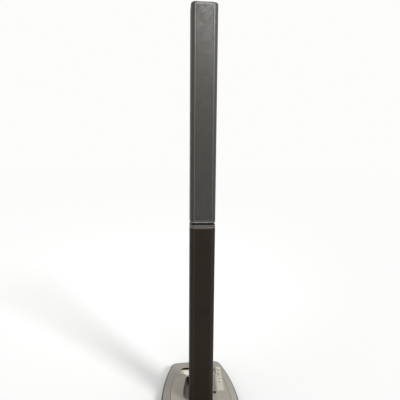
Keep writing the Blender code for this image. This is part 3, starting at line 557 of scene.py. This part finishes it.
def perforated_sheet(half_x, bottom, top):
    """Staggered hexagonal holes punched in a thin crowned sheet."""
    row = HOLE_PITCH * math.sqrt(3) / 2
    reach = HOLE_PITCH / math.sqrt(3)
    across = int((2 * half_x) / HOLE_PITCH)
    up = int((top - bottom) / row)
    start_z = (bottom + top) / 2 - (up - 1) * row / 2
    turns = np.radians(30 + 60 * np.arange(6))
    ring = np.stack([np.cos(turns), np.sin(turns)], 1)
    centres = []
    for line in range(up):
        count = across - line % 2
        xs = (np.arange(count) - (count - 1) / 2) * HOLE_PITCH
        centres.append(np.stack([xs, np.full(count, start_z + line * row)], 1))
    centres = np.concatenate(centres)
    outer = centres[:, None] + ring * reach
    keys = np.round(outer.reshape(-1, 2) / 1e-5).astype(int)
    shared, index = np.unique(keys, axis=0, return_inverse=True)
    index = index.reshape(-1, 6)
    inner = (centres[:, None] + ring * HOLE_RADIUS).reshape(-1, 2)
    flat = np.concatenate([shared * 1e-5, inner])
    first = len(shared) + 6 * np.arange(len(centres))[:, None] + np.arange(6)
    after = np.roll(np.arange(6), -1)
    quads = np.stack([index, index[:, after], first[:, after], first], 2).reshape(-1, 4)
    points = np.stack([flat[:, 0], face_y(flat[:, 0], 0.00025), flat[:, 1]], 1)
    mesh = bpy.data.meshes.new("perforated")
    mesh.from_pydata(points.tolist(), [], quads.tolist())
    return modified(mesh, "SOLIDIFY", thickness=0.0008, offset=-1.0)


def make_grille(section, body, surface):
    low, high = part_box(f"{section}_grille")
    bottom, top = low[2], high[2]
    half = grille_curve()[0]
    border, band = 0.0045, 0.0060
    sides = []
    strip = strip_outline(half - border, half, flange=True)
    for outline in (strip, [(-x, y) for x, y in reversed(strip)]):
        sides.append(prism([outline], top - bottom - 2 * band, bottom + band))
    for start in (bottom, top - band):
        sides.append(prism([strip_outline(-half, half, steps=24)], band, start))
    piece(f"{section}_grille_hem", smooth(joined(sides)), body, "grille", surface)
    sheet = perforated_sheet(half - border + 0.0015, bottom + band - 0.0015, top - band + 0.0015)
    piece(f"{section}_grille_sheet", sheet, body, "grille", surface, [f"{section}_grille"])


def driver_mesh():
    """Dust cap, cone, roll surround, flange and basket of one full-range driver."""
    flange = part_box("lower_driver_1")[1][0]
    cap = [(0.0, -0.0072), (0.0030, -0.0074), (0.0060, -0.0082), (0.0085, -0.0097), (0.0095, -0.0112)]
    cone = [(0.0130, -0.0095), (0.0200, -0.0056), (0.0258, -0.0025)]
    roll = [(0.0262 + 0.0060 * t, -0.0022 + 0.0022 * math.sin(math.pi * t))
            for t in (0.0, 0.2, 0.4, 0.6, 0.8)]
    rim = [(0.0322, -0.0016), (0.0330, -0.0006), (flange - 0.0006, -0.0006), (flange, -0.0010),
           (flange, -0.0030), (0.0317, -0.0030), (0.0317, -0.0120), (0.0210, -0.0225), (0.0205, -0.0240),
           (0.0205, -0.0360), (0.0198, -0.0365), (0.0, -0.0365)]
    return smooth(turned(cap + cone + roll + rim, 48), 38)


def make_drivers(section, body, mesh):
    """The drivers sit behind the grille, faces towards the audience."""
    turn = Matrix.Rotation(QUARTER, 4, "X")
    number = 1
    while f"{section}_driver_{number}" in frame["nodes"]:
        node = f"{section}_driver_{number}"
        low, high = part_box(node)
        place = (0.0, low[1], (low[2] + high[2]) / 2)
        piece(f"{node}_unit", mesh, body, "driver", "cone", [node], place, turn)
        number += 1


def capped(profile, radius, outline=column_outline):
    """A solid of stacked outlines from (inset, z) points, with its corners rounded."""
    rounded = filleted(profile, radius)
    return smooth(loft([(outline(inset), z) for inset, z in rounded]), 40)


def beaded(low, high, middle_z, half=0.0017, sink=0.0009):
    """Profile of a band with a bead standing proud of it, between two heights; the bead takes the painted
    highlight.
    """
    return [(sink, low), (sink, middle_z - half - sink), (0.0, middle_z - half), (0.0, middle_z + half),
            (sink, middle_z + half + sink), (sink, high)]


def paint_bead_highlight(obj, heights, half=0.0020):
    """Give the beads at these heights the bright finish: a painted highlight where the light glints on their
    rounded lips.
    """
    obj.data.materials.append(SURFACES["ridge"])
    for face in obj.data.polygons:
        outward = abs(face.normal.z) < 0.75 and max(abs(face.center.x) / COLUMN_HALF_X,
                                                    abs(face.center.y) / COLUMN_HALF_Y) > 0.75
        if outward and any(abs(face.center.z - z) < half for z in heights):
            face.material_index = 1


def make_column():
    mesh = driver_mesh()
    # The lower section takes the darker copies of the paint and grille coat: painted shade on the lower
    # column.
    for section, paint, powder in (("lower", "column_painted_shade", "grille_painted_shade"), ("upper", "column", "grille")):
        body = f"{section}_array"
        low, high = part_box(f"{section}_shell")
        shell = smooth(prism([channel_outline()], high[2] - low[2], low[2]))
        piece(f"{section}_wall", shell, body, "column", paint, [f"{section}_shell"])
        make_grille(section, body, powder)
        make_drivers(section, body, mesh)
    low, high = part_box("upper_top_cap")
    lid = capped([(0.0, low[2]), (0.0, high[2]), (0.030, high[2])], 0.0016)
    piece("upper_lid", lid, "upper_array", "cap", "column", ["upper_top_cap"])
    low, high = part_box("upper_bottom_cap")
    crest = low[2] + 0.0048
    ring = capped([(0.004, low[2])] + beaded(low[2], high[2], crest) + [(0.004, high[2])], 0.0006)
    paint_bead_highlight(piece("upper_foot_cap", ring, "upper_array", "cap", "cap", ["upper_bottom_cap"]), [crest])
    low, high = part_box("lower_bottom_cap")
    ring = capped([(0.004, low[2]), (0.0006, low[2]), (0.0006, high[2]), (0.004, high[2])], 0.0010)
    piece("lower_foot_cap", ring, "lower_array", "cap", "cap", ["lower_bottom_cap"])
    make_collar()


def make_collar():
    """Two rounded ridges with a groove between them, and the neck that the upper section sits on."""
    low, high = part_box("lower_top_cap")
    ridge, valley, neck = 0.0075, 0.0014, 0.0045
    bottom, top = low[2], high[2]
    first, second = bottom + ridge, bottom + ridge + valley
    shoulder = bottom + 0.0160
    crests = [bottom + 0.0030, bottom + 0.0125]
    profile = [(0.0035, bottom)] + beaded(bottom, first, crests[0]) + [(0.0026, first + valley / 2)]
    profile += beaded(second, shoulder, crests[1]) + [(neck, shoulder), (neck, top), (0.010, top)]
    collar = capped(profile, 0.0006)
    mouth = prism([rectangle(0.0357, 0.0257, 0.0067)], 0.08, bottom - 0.02)
    collar = smooth(combined(collar, mouth), 40)
    paint_bead_highlight(piece("joint_collar", collar, "lower_array", "cap", "cap", ["lower_top_cap"]), crests)


def make_plugs():
    """Multi-pole plugs: a moulded block with brass blades on its lower face."""
    for node, body in (("lower_plug", "lower_array"), ("upper_plug", "upper_array")):
        low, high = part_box(node)
        block = prism([rectangle(high[0], high[1], 0.006)], high[2] - low[2], low[2])
        piece(f"{node}_body", smooth(eased(block, 0.0014)), body, "connector", "connector", [node])
        blades = [eased(box((0.0016, 0.009, 0.0016), (x, y, low[2] - 0.0003)), 0.0003)
                  for y in (-0.011, 0.011) for x in np.linspace(-0.024, 0.024, 5)]
        piece(f"{node}_contacts", joined(blades), body, "connector", "brass")


# ---- stand casing -----------------------------------------------------------
def rear_bay(grow=0.0, low=0.0, high=0.060):
    left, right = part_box("rear_panel")[0][0] - GAP - grow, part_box("rear_panel")[1][0] + GAP + grow
    return box((right - left, 0.060, high - low), ((left + right) / 2, STAND_HALF_LENGTH, (low + high) / 2))


def between(one, two, share):
    return [(a[0] + (b[0] - a[0]) * share, a[1] + (b[1] - a[1]) * share) for a, b in zip(one, two)]


def shell_rings():
    """The casing's outer skin, from the rim over the sloping margin and groove to the plateau."""
    skirt = BUMPER_PROUD + GAP
    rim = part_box("base_top_shell")[0][2]
    edge = filleted([(skirt, rim), (skirt, rim + 0.0048), (skirt + 0.0060, SHELL_SHOULDER),
                     (skirt + 0.0090, SHELL_SHOULDER + 0.0012)], 0.0050, 6)[:-1]
    rings = [(rim_outline(inset), z) for inset, z in edge]
    outside, margin_z = edge[-1]
    outer, inner = rim_outline(outside), plateau_outline(-GROOVE_WIDTH)
    for step in range(1, 15):
        share = step / 14
        rings.append((between(outer, inner, share), margin_z + (PLATEAU_EDGE_Z - margin_z) * share))
    for share in (0.12, 0.3, 0.5, 0.7, 0.88):
        dip = GROOVE_DEPTH * math.sin(math.pi * share) ** 0.6
        rings.append((plateau_outline(-GROOVE_WIDTH * (1 - share)), PLATEAU_EDGE_Z - dip))
    for inset, z in filleted([(0.0, STAND_TOP - 0.0024), (0.0002, STAND_TOP), (0.006, STAND_TOP)], 0.0013):
        rings.append((plateau_outline(inset), z))
    return rings


def make_top_shell():
    skirt = BUMPER_PROUD + GAP
    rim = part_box("base_top_shell")[0][2]
    ceiling = PLATEAU_EDGE_Z - GROOVE_DEPTH - SHELL_WALL
    cavity = loft([(rim_outline(skirt + SHELL_WALL), rim - 0.003),
                   (rim_outline(skirt + SHELL_WALL), rim + 0.0045),
                   (rim_outline(skirt + 2.5 * SHELL_WALL), SHELL_SHOULDER - SHELL_WALL),
                   (plateau_outline(-GROOVE_WIDTH), ceiling)])
    shell = combined(loft(shell_rings()), cavity)
    pad = loft([(panel_outline(0.003), 0.0640), (panel_outline(0.003), PANEL_TOP - 0.0012),
                (panel_outline(0.0024), PANEL_TOP - 0.0005)])
    shell = combined(shell, pad, "UNION")
    deep = 0.12
    for outline, low in ((well_outline(-GAP), 0.020), (column_outline(-0.0035), 0.020),
                         (hold_outline(-GAP), 0.020), (vent_outline(GAP), 0.020),
                         (panel_outline(GAP), PANEL_TOP - PANEL_THICK - GAP),
                         (panel_outline(-0.0025), 0.020)):
        shell = combined(shell, prism([outline], deep, low))
    x, y = middle("master_knob")[:2]
    shell = combined(shell, moved(turned([(0, 0.05), (0.0038, 0.05), (0.0038, -0.05), (0, -0.05)], 24),
                                  (x, y, STAND_TOP)))
    shell = eased(shell, 0.0008, 2, 62)
    casing = piece("stand_casing", smooth(shell, 30), "base", "stand", "stand", ["base_top_shell"])
    # Painted shade: the upward faces of the sloping margin, below the plateau edge, take the darker copy of
    # the moulding.
    casing.data.materials.append(SURFACES["margin"])
    for face in casing.data.polygons:
        if face.center.z < PLATEAU_EDGE_Z - MARGIN_DROP and face.normal.z > 0.2:
            face.material_index = 1


def make_pan_and_bumper():
    low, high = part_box("base_bottom_pan")
    inset = BUMPER_PROUD + GAP
    path = filleted([(inset + 0.020, low[2]), (inset, low[2]), (inset, high[2])], 0.006, 6)
    outer = loft([(rim_outline(a), z) for a, z in path])
    inner = loft([(rim_outline(inset + 0.008), low[2] + 0.002), (rim_outline(inset + 0.002), low[2] + 0.008),
                  (rim_outline(inset + 0.002), high[2] + 0.01)])
    pan = combined(combined(outer, inner), rear_bay(low=0.0115))
    piece("bottom_pan", smooth(pan, 35), "base", "pan", "pan", ["base_bottom_pan"])
    low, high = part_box("base_bumper")
    edge = filleted([(BUMPER_PROUD, low[2]), (0.0, low[2]), (0.0, high[2]), (BUMPER_PROUD, high[2])],
                    0.0034, 6)
    ring = combined(loft([(rim_outline(a), z) for a, z in edge]),
                    prism([rim_outline(BUMPER_PROUD)], 0.06, low[2] - 0.02))
    ring = combined(ring, rear_bay(GAP))
    piece("edge_bumper", smooth(ring, 35), "base", "bumper", "bumper", ["base_bumper"])


def make_feet():
    low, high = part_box("foot_1")
    radius, top = (high[0] - low[0]) / 2, high[2]
    tread = []
    for ring in (0.0035, 0.0065, 0.0095):
        tread += [(ring + 0.0013, 0.0), (ring + 0.0008, 0.0007), (ring, 0.0007), (ring - 0.0005, 0.0)]
    profile = filleted([(0.0, top), (radius - 0.0008, top), (radius, 0.004), (radius - 0.0014, 0.0),
                        (0.012, 0.0)], 0.0012)
    mesh = smooth(turned(profile + sorted(tread, reverse=True) + [(0.0, 0.0)], 40))
    for number in range(1, 5):
        place = middle(f"foot_{number}")
        piece(f"rubber_foot_{number}", mesh, "base", "foot", "foot", [f"foot_{number}"],
              (place.x, place.y, 0))


# ---- stand: well, hand-hold ---------------------------------------------------
def make_well():
    height = 0.080
    liner = prism([well_outline()], WELL_TOP - WELL_BOTTOM, WELL_BOTTOM)
    liner = combined(liner, prism([column_outline(-0.0032)], WELL_TOP - WELL_BOTTOM, WELL_BOTTOM), "UNION")
    liner = combined(liner, prism([well_outline(WELL_WALL)], height, WELL_FLOOR))
    liner = combined(liner, prism([column_outline(-0.0009)], height, 0.030 - GAP))
    rear = WELL_REAR - WELL_WALL
    deep = rounded_polygon([(0.045, 0.104, 0.006), (0.062, rear, 0.010), (-0.068, rear, 0.010),
                            (-0.045, 0.104, 0.006)])
    liner = combined(liner, prism([deep], height, DEEP_FLOOR))
    liner = combined(liner, prism([rectangle(0.0357, 0.0257, 0.0067)], height, WELL_BOTTOM - height / 2))
    liner = piece("column_well", smooth(eased(liner, 0.0009, 2, 55), 35), "base", "well", "well",
                  ["well_liner"])
    # Painted shade: the deep far part and the rear wall of the well take the black cup finish where shade
    # falls.
    liner.data.materials.append(SURFACES["cup"])
    for face in liner.data.polygons:
        height_fits = DEEP_FLOOR - SHADE_MARGIN < face.center.z < WELL_FLOOR - SHADE_MARGIN
        deep_shade = face.center.y > SHADE_START_Y and height_fits
        rear_wall_shade = face.normal.y < -0.7 and face.center.y > rear - REAR_WALL_DEPTH
        if deep_shade or rear_wall_shade:
            face.material_index = 1


def make_hand_hold():
    low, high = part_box("handle_cup")
    wall, bottom, top, rear = 0.002, low[2], high[2], high[1]
    cup = loft([(hold_outline(inset, rear), z) for inset, z in
                filleted([(0.006, bottom), (0.0, bottom), (0.0, top)], 0.003)])
    inside = loft([(hold_outline(inset, rear), z) for inset, z in
                   filleted([(wall + 0.006, bottom + wall), (wall, bottom + wall), (wall, top + 0.01)],
                            0.004)])
    piece("grip_cup", smooth(combined(cup, inside), 35), "base", "cup", "cup", ["handle_cup"])
    section = [PLATE_FRONT, (PLATE_FRONT[0], PLATE_FRONT[1] - PLATE_THICK),
               (PLATE_END[0], PLATE_END[1] - PLATE_THICK), PLATE_END]
    turn = Matrix.Rotation(QUARTER, 4, "Z") @ Matrix.Rotation(QUARTER, 4, "X")
    plate = moved(prism([section], 0.24, -0.12), turn=turn)
    trim = prism([hold_outline(wall + 0.0004, rear)], 0.1)
    plate = eased(combined(plate, trim, "INTERSECT"), 0.0007)
    slope = (PLATE_END[1] - PLATE_FRONT[1]) / (PLATE_END[0] - PLATE_FRONT[0])
    piece("grip_plate", smooth(plate), "base", "silver", "silver", ["handle_plate"])
    head = filleted([(0.0, 0.0026), (0.0030, 0.0026), (0.0042, 0.0010), (0.0042, GAP)], 0.0010) + [(0.0, GAP)]
    hexagon = [(0.0017 * math.cos(a), 0.0017 * math.sin(a)) for a in np.radians(60 * np.arange(6))]
    screw = combined(turned(head, 32), prism([hexagon], 0.004, 0.0008))
    tilt = Matrix.Rotation(math.atan(slope), 4, "X")
    for number in (1, 2):
        at = middle(f"handle_screw_{number}")
        z = PLATE_FRONT[1] + (at.y - PLATE_FRONT[0]) * slope
        piece(f"grip_screw_{number}", smooth(screw), "base", "screw", "screw", [f"handle_screw_{number}"],
              (at.x, at.y, z), tilt)


# ---- stand: controls ----------------------------------------------------------
def dial_marks(centre, radius, length, z):
    """Eleven printed strokes round a control, over its 300 degree sweep."""
    strokes = []
    for step in range(11):
        angle = math.radians(240 - 30 * step)
        turn = Matrix.Rotation(angle, 4, "Z")
        strokes.append(moved(box((length, 0.0005, 0.0001), (radius + length / 2, 0, 0)),
                             (centre[0], centre[1], z), turn))
    return joined(strokes)


def knob(node, body, slot, flutes, height):
    """A fluted cap on a shaft, with a white pointer line."""
    low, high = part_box(node)
    at = middle(node)
    radius, base = (high[0] - low[0]) / 2, high[2] - height
    shaft_end = low[2] - base
    profile = [(0.0, height - 0.0003), (radius * 0.55, height - 0.0003), (radius * 0.72, height),
               (radius * 0.82, height - 0.0003), (radius * 0.90, height - 0.0012), (radius * 0.97, 0.0016),
               (radius, 0.0012), (radius, 0.0), (0.0030, 0.0), (0.0030, shaft_end), (0.0, shaft_end)]
    mesh = smooth(turned(profile, flutes * 8, flutes, radius * 0.055, (4, 5)), 40)
    piece(f"{node}_cap", mesh, body, slot, slot, [node], (at.x, at.y, base))
    line = eased(box((0.0009, radius * 0.62, 0.0004), (0.0, radius * 0.52, height - 0.0001)), 0.0001, 2)
    piece(f"{node}_pointer", line, body, slot, "pointer", (), (at.x, at.y, base))


def make_panel():
    """The raised control panel with its dial marks, knobs, sockets and lamp."""
    plate = prism([panel_outline()], PANEL_THICK, PANEL_TOP - PANEL_THICK)
    holes = [("level_knob_1", KNOB_HOLE), ("level_knob_2", KNOB_HOLE), ("input_jack_1", JACK_HOLE),
             ("input_jack_2", JACK_HOLE), ("status_led", LAMP_HOLE)]
    for node, radius in holes:
        x, y = middle(node)[:2]
        pin = turned([(0, 0.01), (radius, 0.01), (radius, -0.01), (0, -0.01)], 32)
        plate = combined(plate, moved(pin, (x, y, PANEL_TOP)))
    piece("input_panel", smooth(eased(plate, 0.0003, 2)), "base", "panel", "panel", ["control_panel"])
    marks = []
    for node, body in (("level_knob_1", "level_control_1"), ("level_knob_2", "level_control_2")):
        knob(node, body, "knob", KNOB_FLUTES, KNOB_HEIGHT)
        marks.append(dial_marks(middle(node), 0.0082, 0.0016, PANEL_TOP + MARK_LIFT))
    x, y = middle("input_jack_1")[:2]
    for step in (0.0165, -0.0450):
        marks.append(box((0.026, 0.0005, 0.0001), (x - 0.002, y + step, PANEL_TOP + MARK_LIFT)))
    piece("panel_marks", joined(marks), "base", "panel", "mark")
    knob("master_knob", "master_control", "master", MASTER_FLUTES, MASTER_HEIGHT)
    make_jacks()
    at, top = middle("status_led"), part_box("status_led")[1][2]
    dome = [(LAMP_RADIUS * math.sin(a), LAMP_RISE * math.cos(a)) for a in np.linspace(0, QUARTER, 8)]
    lens = turned(dome + [(LAMP_RADIUS, -0.006), (0.0, -0.006)], 28)
    piece("power_lamp", smooth(lens), "base", "led", "led", ["status_led"], (at.x, at.y, top - LAMP_RISE))


def make_jacks():
    """Quarter-inch sockets: hex nut, threaded bush and dark bore."""
    for number in (1, 2):
        node = f"input_jack_{number}"
        at, rise = middle(node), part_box(node)[1][2] - PANEL_TOP
        thread = []
        for turn_number in range(3):
            z = rise - 0.0002 - 0.0004 * turn_number
            thread += [(0.0046, z), (0.0044, z - 0.0002)]
        bush = turned([(0.0, -0.0190), (0.0034, -0.0190), (0.0034, rise - 0.0003), (0.0037, rise),
                       (0.0044, rise)] + thread + [(0.0046, 0.0004), (0.0046, -0.0220), (0.0, -0.0220)], 36)
        hexagon = [(0.0066 * math.cos(a), 0.0066 * math.sin(a)) for a in np.radians(60 * np.arange(6))]
        hole = arc((0, 0), 0.00455, 0, 2 * math.pi * 35 / 36, 35)
        nut = eased(prism([hexagon, hole], 0.0013, 0.0002), 0.0003, 2)
        piece(f"{node}_bush", smooth(joined([bush, nut])), "base", "nickel", "nickel", [node],
              (at.x, at.y, PANEL_TOP))
        lining = turned([(0.0, -0.0185), (0.0032, -0.0185), (0.0032, -0.0005), (0.00338, -0.0005),
                         (0.00338, -0.0188), (0.0, -0.0188)], 28)
        piece(f"{node}_lining", smooth(lining), "base", "nickel", "bore", (), (at.x, at.y, PANEL_TOP))


def make_vent():
    low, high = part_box("vent_strip")
    ribs, width = 12, 0.0057
    pitch = (high[1] - low[1] - width) / (ribs - 1)
    floor, top = 0.002, high[2] - low[2]
    outline = [(0.0, 0.0), ((ribs - 1) * pitch + width, 0.0)]
    for index in range(ribs - 1, -1, -1):
        left = index * pitch
        outline += [(left + width, floor), (left + width, top), (left, top), (left, floor)]
    outline = outline[:2] + outline[3:-1]
    turn = Matrix.Rotation(QUARTER, 4, "Z") @ Matrix.Rotation(QUARTER, 4, "X")
    comb = moved(prism([outline], 0.04), (0.071, low[1], low[2]), turn)
    comb = combined(comb, prism([vent_outline()], 0.12), "INTERSECT")
    piece("vent_ribs", smooth(eased(comb, 0.0009, 3)), "base", "vent", "vent", ["vent_strip"])


# ---- stand: rear --------------------------------------------------------------
REAR_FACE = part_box("rear_panel")[1][1]
REAR_MID = middle("rear_panel").z


def make_rear_panel():
    low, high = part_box("rear_panel")
    size = [b - a for a, b in zip(low, high)]
    plate = box(size, middle("rear_panel"))
    facing = Matrix.Rotation(-QUARTER, 4, "X")
    for node in ("line_input_1", "line_input_2", "sub_output"):
        pin = turned([(0, 0.01), (0.0112, 0.01), (0.0112, -0.01), (0, -0.01)], 40)
        plate = combined(plate, moved(pin, (middle(node).x, REAR_FACE, REAR_MID), facing))
    plate = combined(plate, box((0.0156, 0.02, 0.0236), (middle("switch_frame").x, REAR_FACE, REAR_MID)))
    plate = combined(plate, box((0.0276, 0.02, 0.0206), (middle("mains_inlet").x, REAR_FACE, REAR_MID)))
    piece("connector_plate", smooth(eased(plate, 0.0004, 2)), "base", "rear", "rear", ["rear_panel"])


def make_round_sockets():
    """Round audio sockets with three contacts and a release tab."""
    facing = Matrix.Rotation(-QUARTER, 4, "X")
    body = [(0.0, -0.0120), (0.0083, -0.0120), (0.0085, -0.0116), (0.0090, 0.0018), (0.0094, 0.0022),
            (0.0120, 0.0022), (0.0128, 0.0018), (0.0130, 0.0010), (0.0130, GAP), (0.0108, GAP),
            (0.0108, -0.0170), (0.0, -0.0170)]
    for node in ("line_input_1", "line_input_2", "sub_output"):
        place = (middle(node).x, REAR_FACE, REAR_MID)
        shell = turned(body, 48)
        core = turned([(0, -0.0036), (0.0064, -0.0036), (0.0068, -0.0040), (0.0068, -0.0124), (0, -0.0124)],
                      40)
        spots = [(0.0038 * math.cos(a), 0.0038 * math.sin(a)) for a in np.radians([90, 210, 330])]
        pins = []
        for x, y in spots:
            if node == "sub_output":
                pins.append(moved(turned([(0, -0.0035), (0.0009, -0.0040), (0.0012, -0.0050),
                                          (0.0012, -0.0122), (0, -0.0122)], 16), (x, y, 0)))
            else:
                hole = turned([(0, 0.0), (0.0013, 0.0), (0.0013, -0.0100), (0, -0.0100)], 16)
                core = combined(core, moved(hole, (x, y, 0)))
        if node == "sub_output":
            piece(f"{node}_pins", smooth(joined(pins)), "base", "socket", "brass", (), place, facing)
            meshes = [shell]
        else:
            meshes = [shell, core]
        tab = eased(box((0.0050, 0.0026, 0.0010), (0.0, -0.0110, 0.0024)), 0.0004, 2)
        piece(f"{node}_socket", smooth(joined(meshes + [tab])), "base", "socket", "socket", [node], place,
              facing)


def make_inlet():
    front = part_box("mains_inlet")[1][1]
    x = middle("mains_inlet").x
    block = combined(box((0.0270, 0.0230, 0.0200), (x, front - 0.0110 - 0.0020, REAR_MID)),
                     eased(box((0.0330, 0.0022, 0.0260), (x, front - 0.0011, REAR_MID)), 0.0006), "UNION")
    shape = [(-0.0118, -0.0078, 0.001), (0.0118, -0.0078, 0.001), (0.0118, 0.0040, 0.001),
             (0.0080, 0.0078, 0.001), (-0.0080, 0.0078, 0.001), (-0.0118, 0.0040, 0.001)]
    recess = moved(prism([rounded_polygon(shape, 4)], 0.0165, 0.0), (x, front, REAR_MID),
                   Matrix.Rotation(QUARTER, 4, "X"))
    block = combined(block, moved(recess, (0, 0.0005, 0)))
    piece("inlet_body", smooth(block, 35), "base", "socket", "socket", ["mains_inlet"])
    blades = [eased(box((0.0020, 0.0120, 0.0040), (x + dx, front - 0.0100, REAR_MID + dz)), 0.0004, 2)
              for dx, dz in ((-0.0070, -0.0015), (0.0, 0.0022), (0.0070, -0.0015))]
    piece("inlet_blades", smooth(joined(blades)), "base", "socket", "nickel")


def make_switch():
    x, front = middle("switch_frame").x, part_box("switch_frame")[1][1]
    frame_mesh = combined(box((0.0150, 0.0180, 0.0230), (x, front - 0.0096, REAR_MID)),
                          eased(box((0.0190, 0.0018, 0.0270), (x, front - 0.0009, REAR_MID)), 0.0006),
                          "UNION")
    frame_mesh = combined(frame_mesh, box((0.0124, 0.0300, 0.0214), (x, front - 0.0010, REAR_MID)))
    piece("switch_bezel", smooth(frame_mesh), "base", "socket", "socket", ["switch_frame"])
    dished = arc((0.0470, 0.0), 0.0432, math.radians(192.8), math.radians(167.2), 12)
    outline = [(-0.0055, -0.0060), (0.0, -0.0085)] + dished + [(0.0, 0.0085), (-0.0055, 0.0060)]
    tilt = math.radians(8)
    turned_line = [(a * math.cos(tilt) - b * math.sin(tilt), a * math.sin(tilt) + b * math.cos(tilt))
                   for a, b in outline]
    mesh = moved(prism([turned_line], 0.0116, -0.0058),
                 turn=Matrix.Rotation(QUARTER, 4, "Z") @ Matrix.Rotation(QUARTER, 4, "X"))
    pivot = next(j for j in frame["joints"] if j["child"] == "power_switch")["pos_m"]
    piece("rocker_cap", smooth(eased(mesh, 0.0005, 3)), "power_switch", "rocker", "rocker", ["power_rocker"],
          pivot)


# ---- inner nodes that keep their CAD shape -------------------------------------
def dress_kept_nodes():
    kept = {"lower_baffle": "baffle", "upper_baffle": "baffle", "lower_receptacle": "connector",
            "socket_connector": "connector", "amplifier_board": "board", "power_supply": "steel",
            "heat_sink": "sink"}
    for node, surface in kept.items():
        obj = frame["nodes"][node]
        for place in obj.material_slots:
            place.material = SURFACES[surface]


# ---- studio -------------------------------------------------------------------
def area_light(name, location, aim, size, power, color=(1, 1, 1)):
    data = bpy.data.lights.new(name, "AREA")
    data.shape = "RECTANGLE"
    data.size, data.size_y = size
    data.energy = power
    data.color = color
    lamp = bpy.data.objects.new(name, data)
    bpy.context.scene.collection.objects.link(lamp)
    data.spread = math.radians(66)
    lamp.location = location
    lamp.rotation_euler = (Vector(aim) - Vector(location)).to_track_quat("-Z", "Y").to_euler()


def make_studio():
    scene = bpy.context.scene
    scene.view_settings.view_transform = "Standard"
    world = bpy.data.worlds.new("studio")
    scene.world = world
    world.use_nodes = True
    world.node_tree.nodes["Background"].inputs["Color"].default_value = (1.0, 0.996, 0.988, 1.0)
    world.node_tree.nodes["Background"].inputs["Strength"].default_value = 0.98
    floor = bpy.data.objects.new("floor", box((60, 60, 0.02), (0, 20, -0.0101)))
    scene.collection.objects.link(floor)
    floor.data.materials.append(finish("pale_floor", (0.70, 0.70, 0.70), 1.0, mottle=0.004, grain=0.0,
                                       wear=0, specular=0.0, rough_spread=0.0))
    area_light("top_key", (0.20, -1.35, 2.80), (0.0, 0.0, 2.02), (0.7, 0.4), 5.8)
    data = bpy.data.lights.new("soft_sun", "SUN")
    data.energy = 2.2
    data.angle = math.radians(14)
    sun = bpy.data.objects.new("soft_sun", data)
    scene.collection.objects.link(sun)
    sun.rotation_euler = Vector((-0.95, 1.0, -1.0)).to_track_quat("-Z", "Y").to_euler()


def make_camera():
    data = bpy.data.cameras.new("camera")
    data.sensor_width = 36.0
    data.lens = 27.0
    camera = bpy.data.objects.new("camera", data)
    bpy.context.scene.collection.objects.link(camera)
    camera.location = (-0.1546, -1.5087, 1.3677)
    camera.rotation_euler = [math.radians(a) for a in (83.0755, -0.4657, -5.3617)]
    bpy.context.scene.camera = camera


make_column()
make_plugs()
make_top_shell()
make_pan_and_bumper()
make_feet()
make_well()
make_hand_hold()
make_panel()
make_vent()
make_rear_panel()
make_round_sockets()
make_inlet()
make_switch()
dress_kept_nodes()
make_studio()
make_camera()
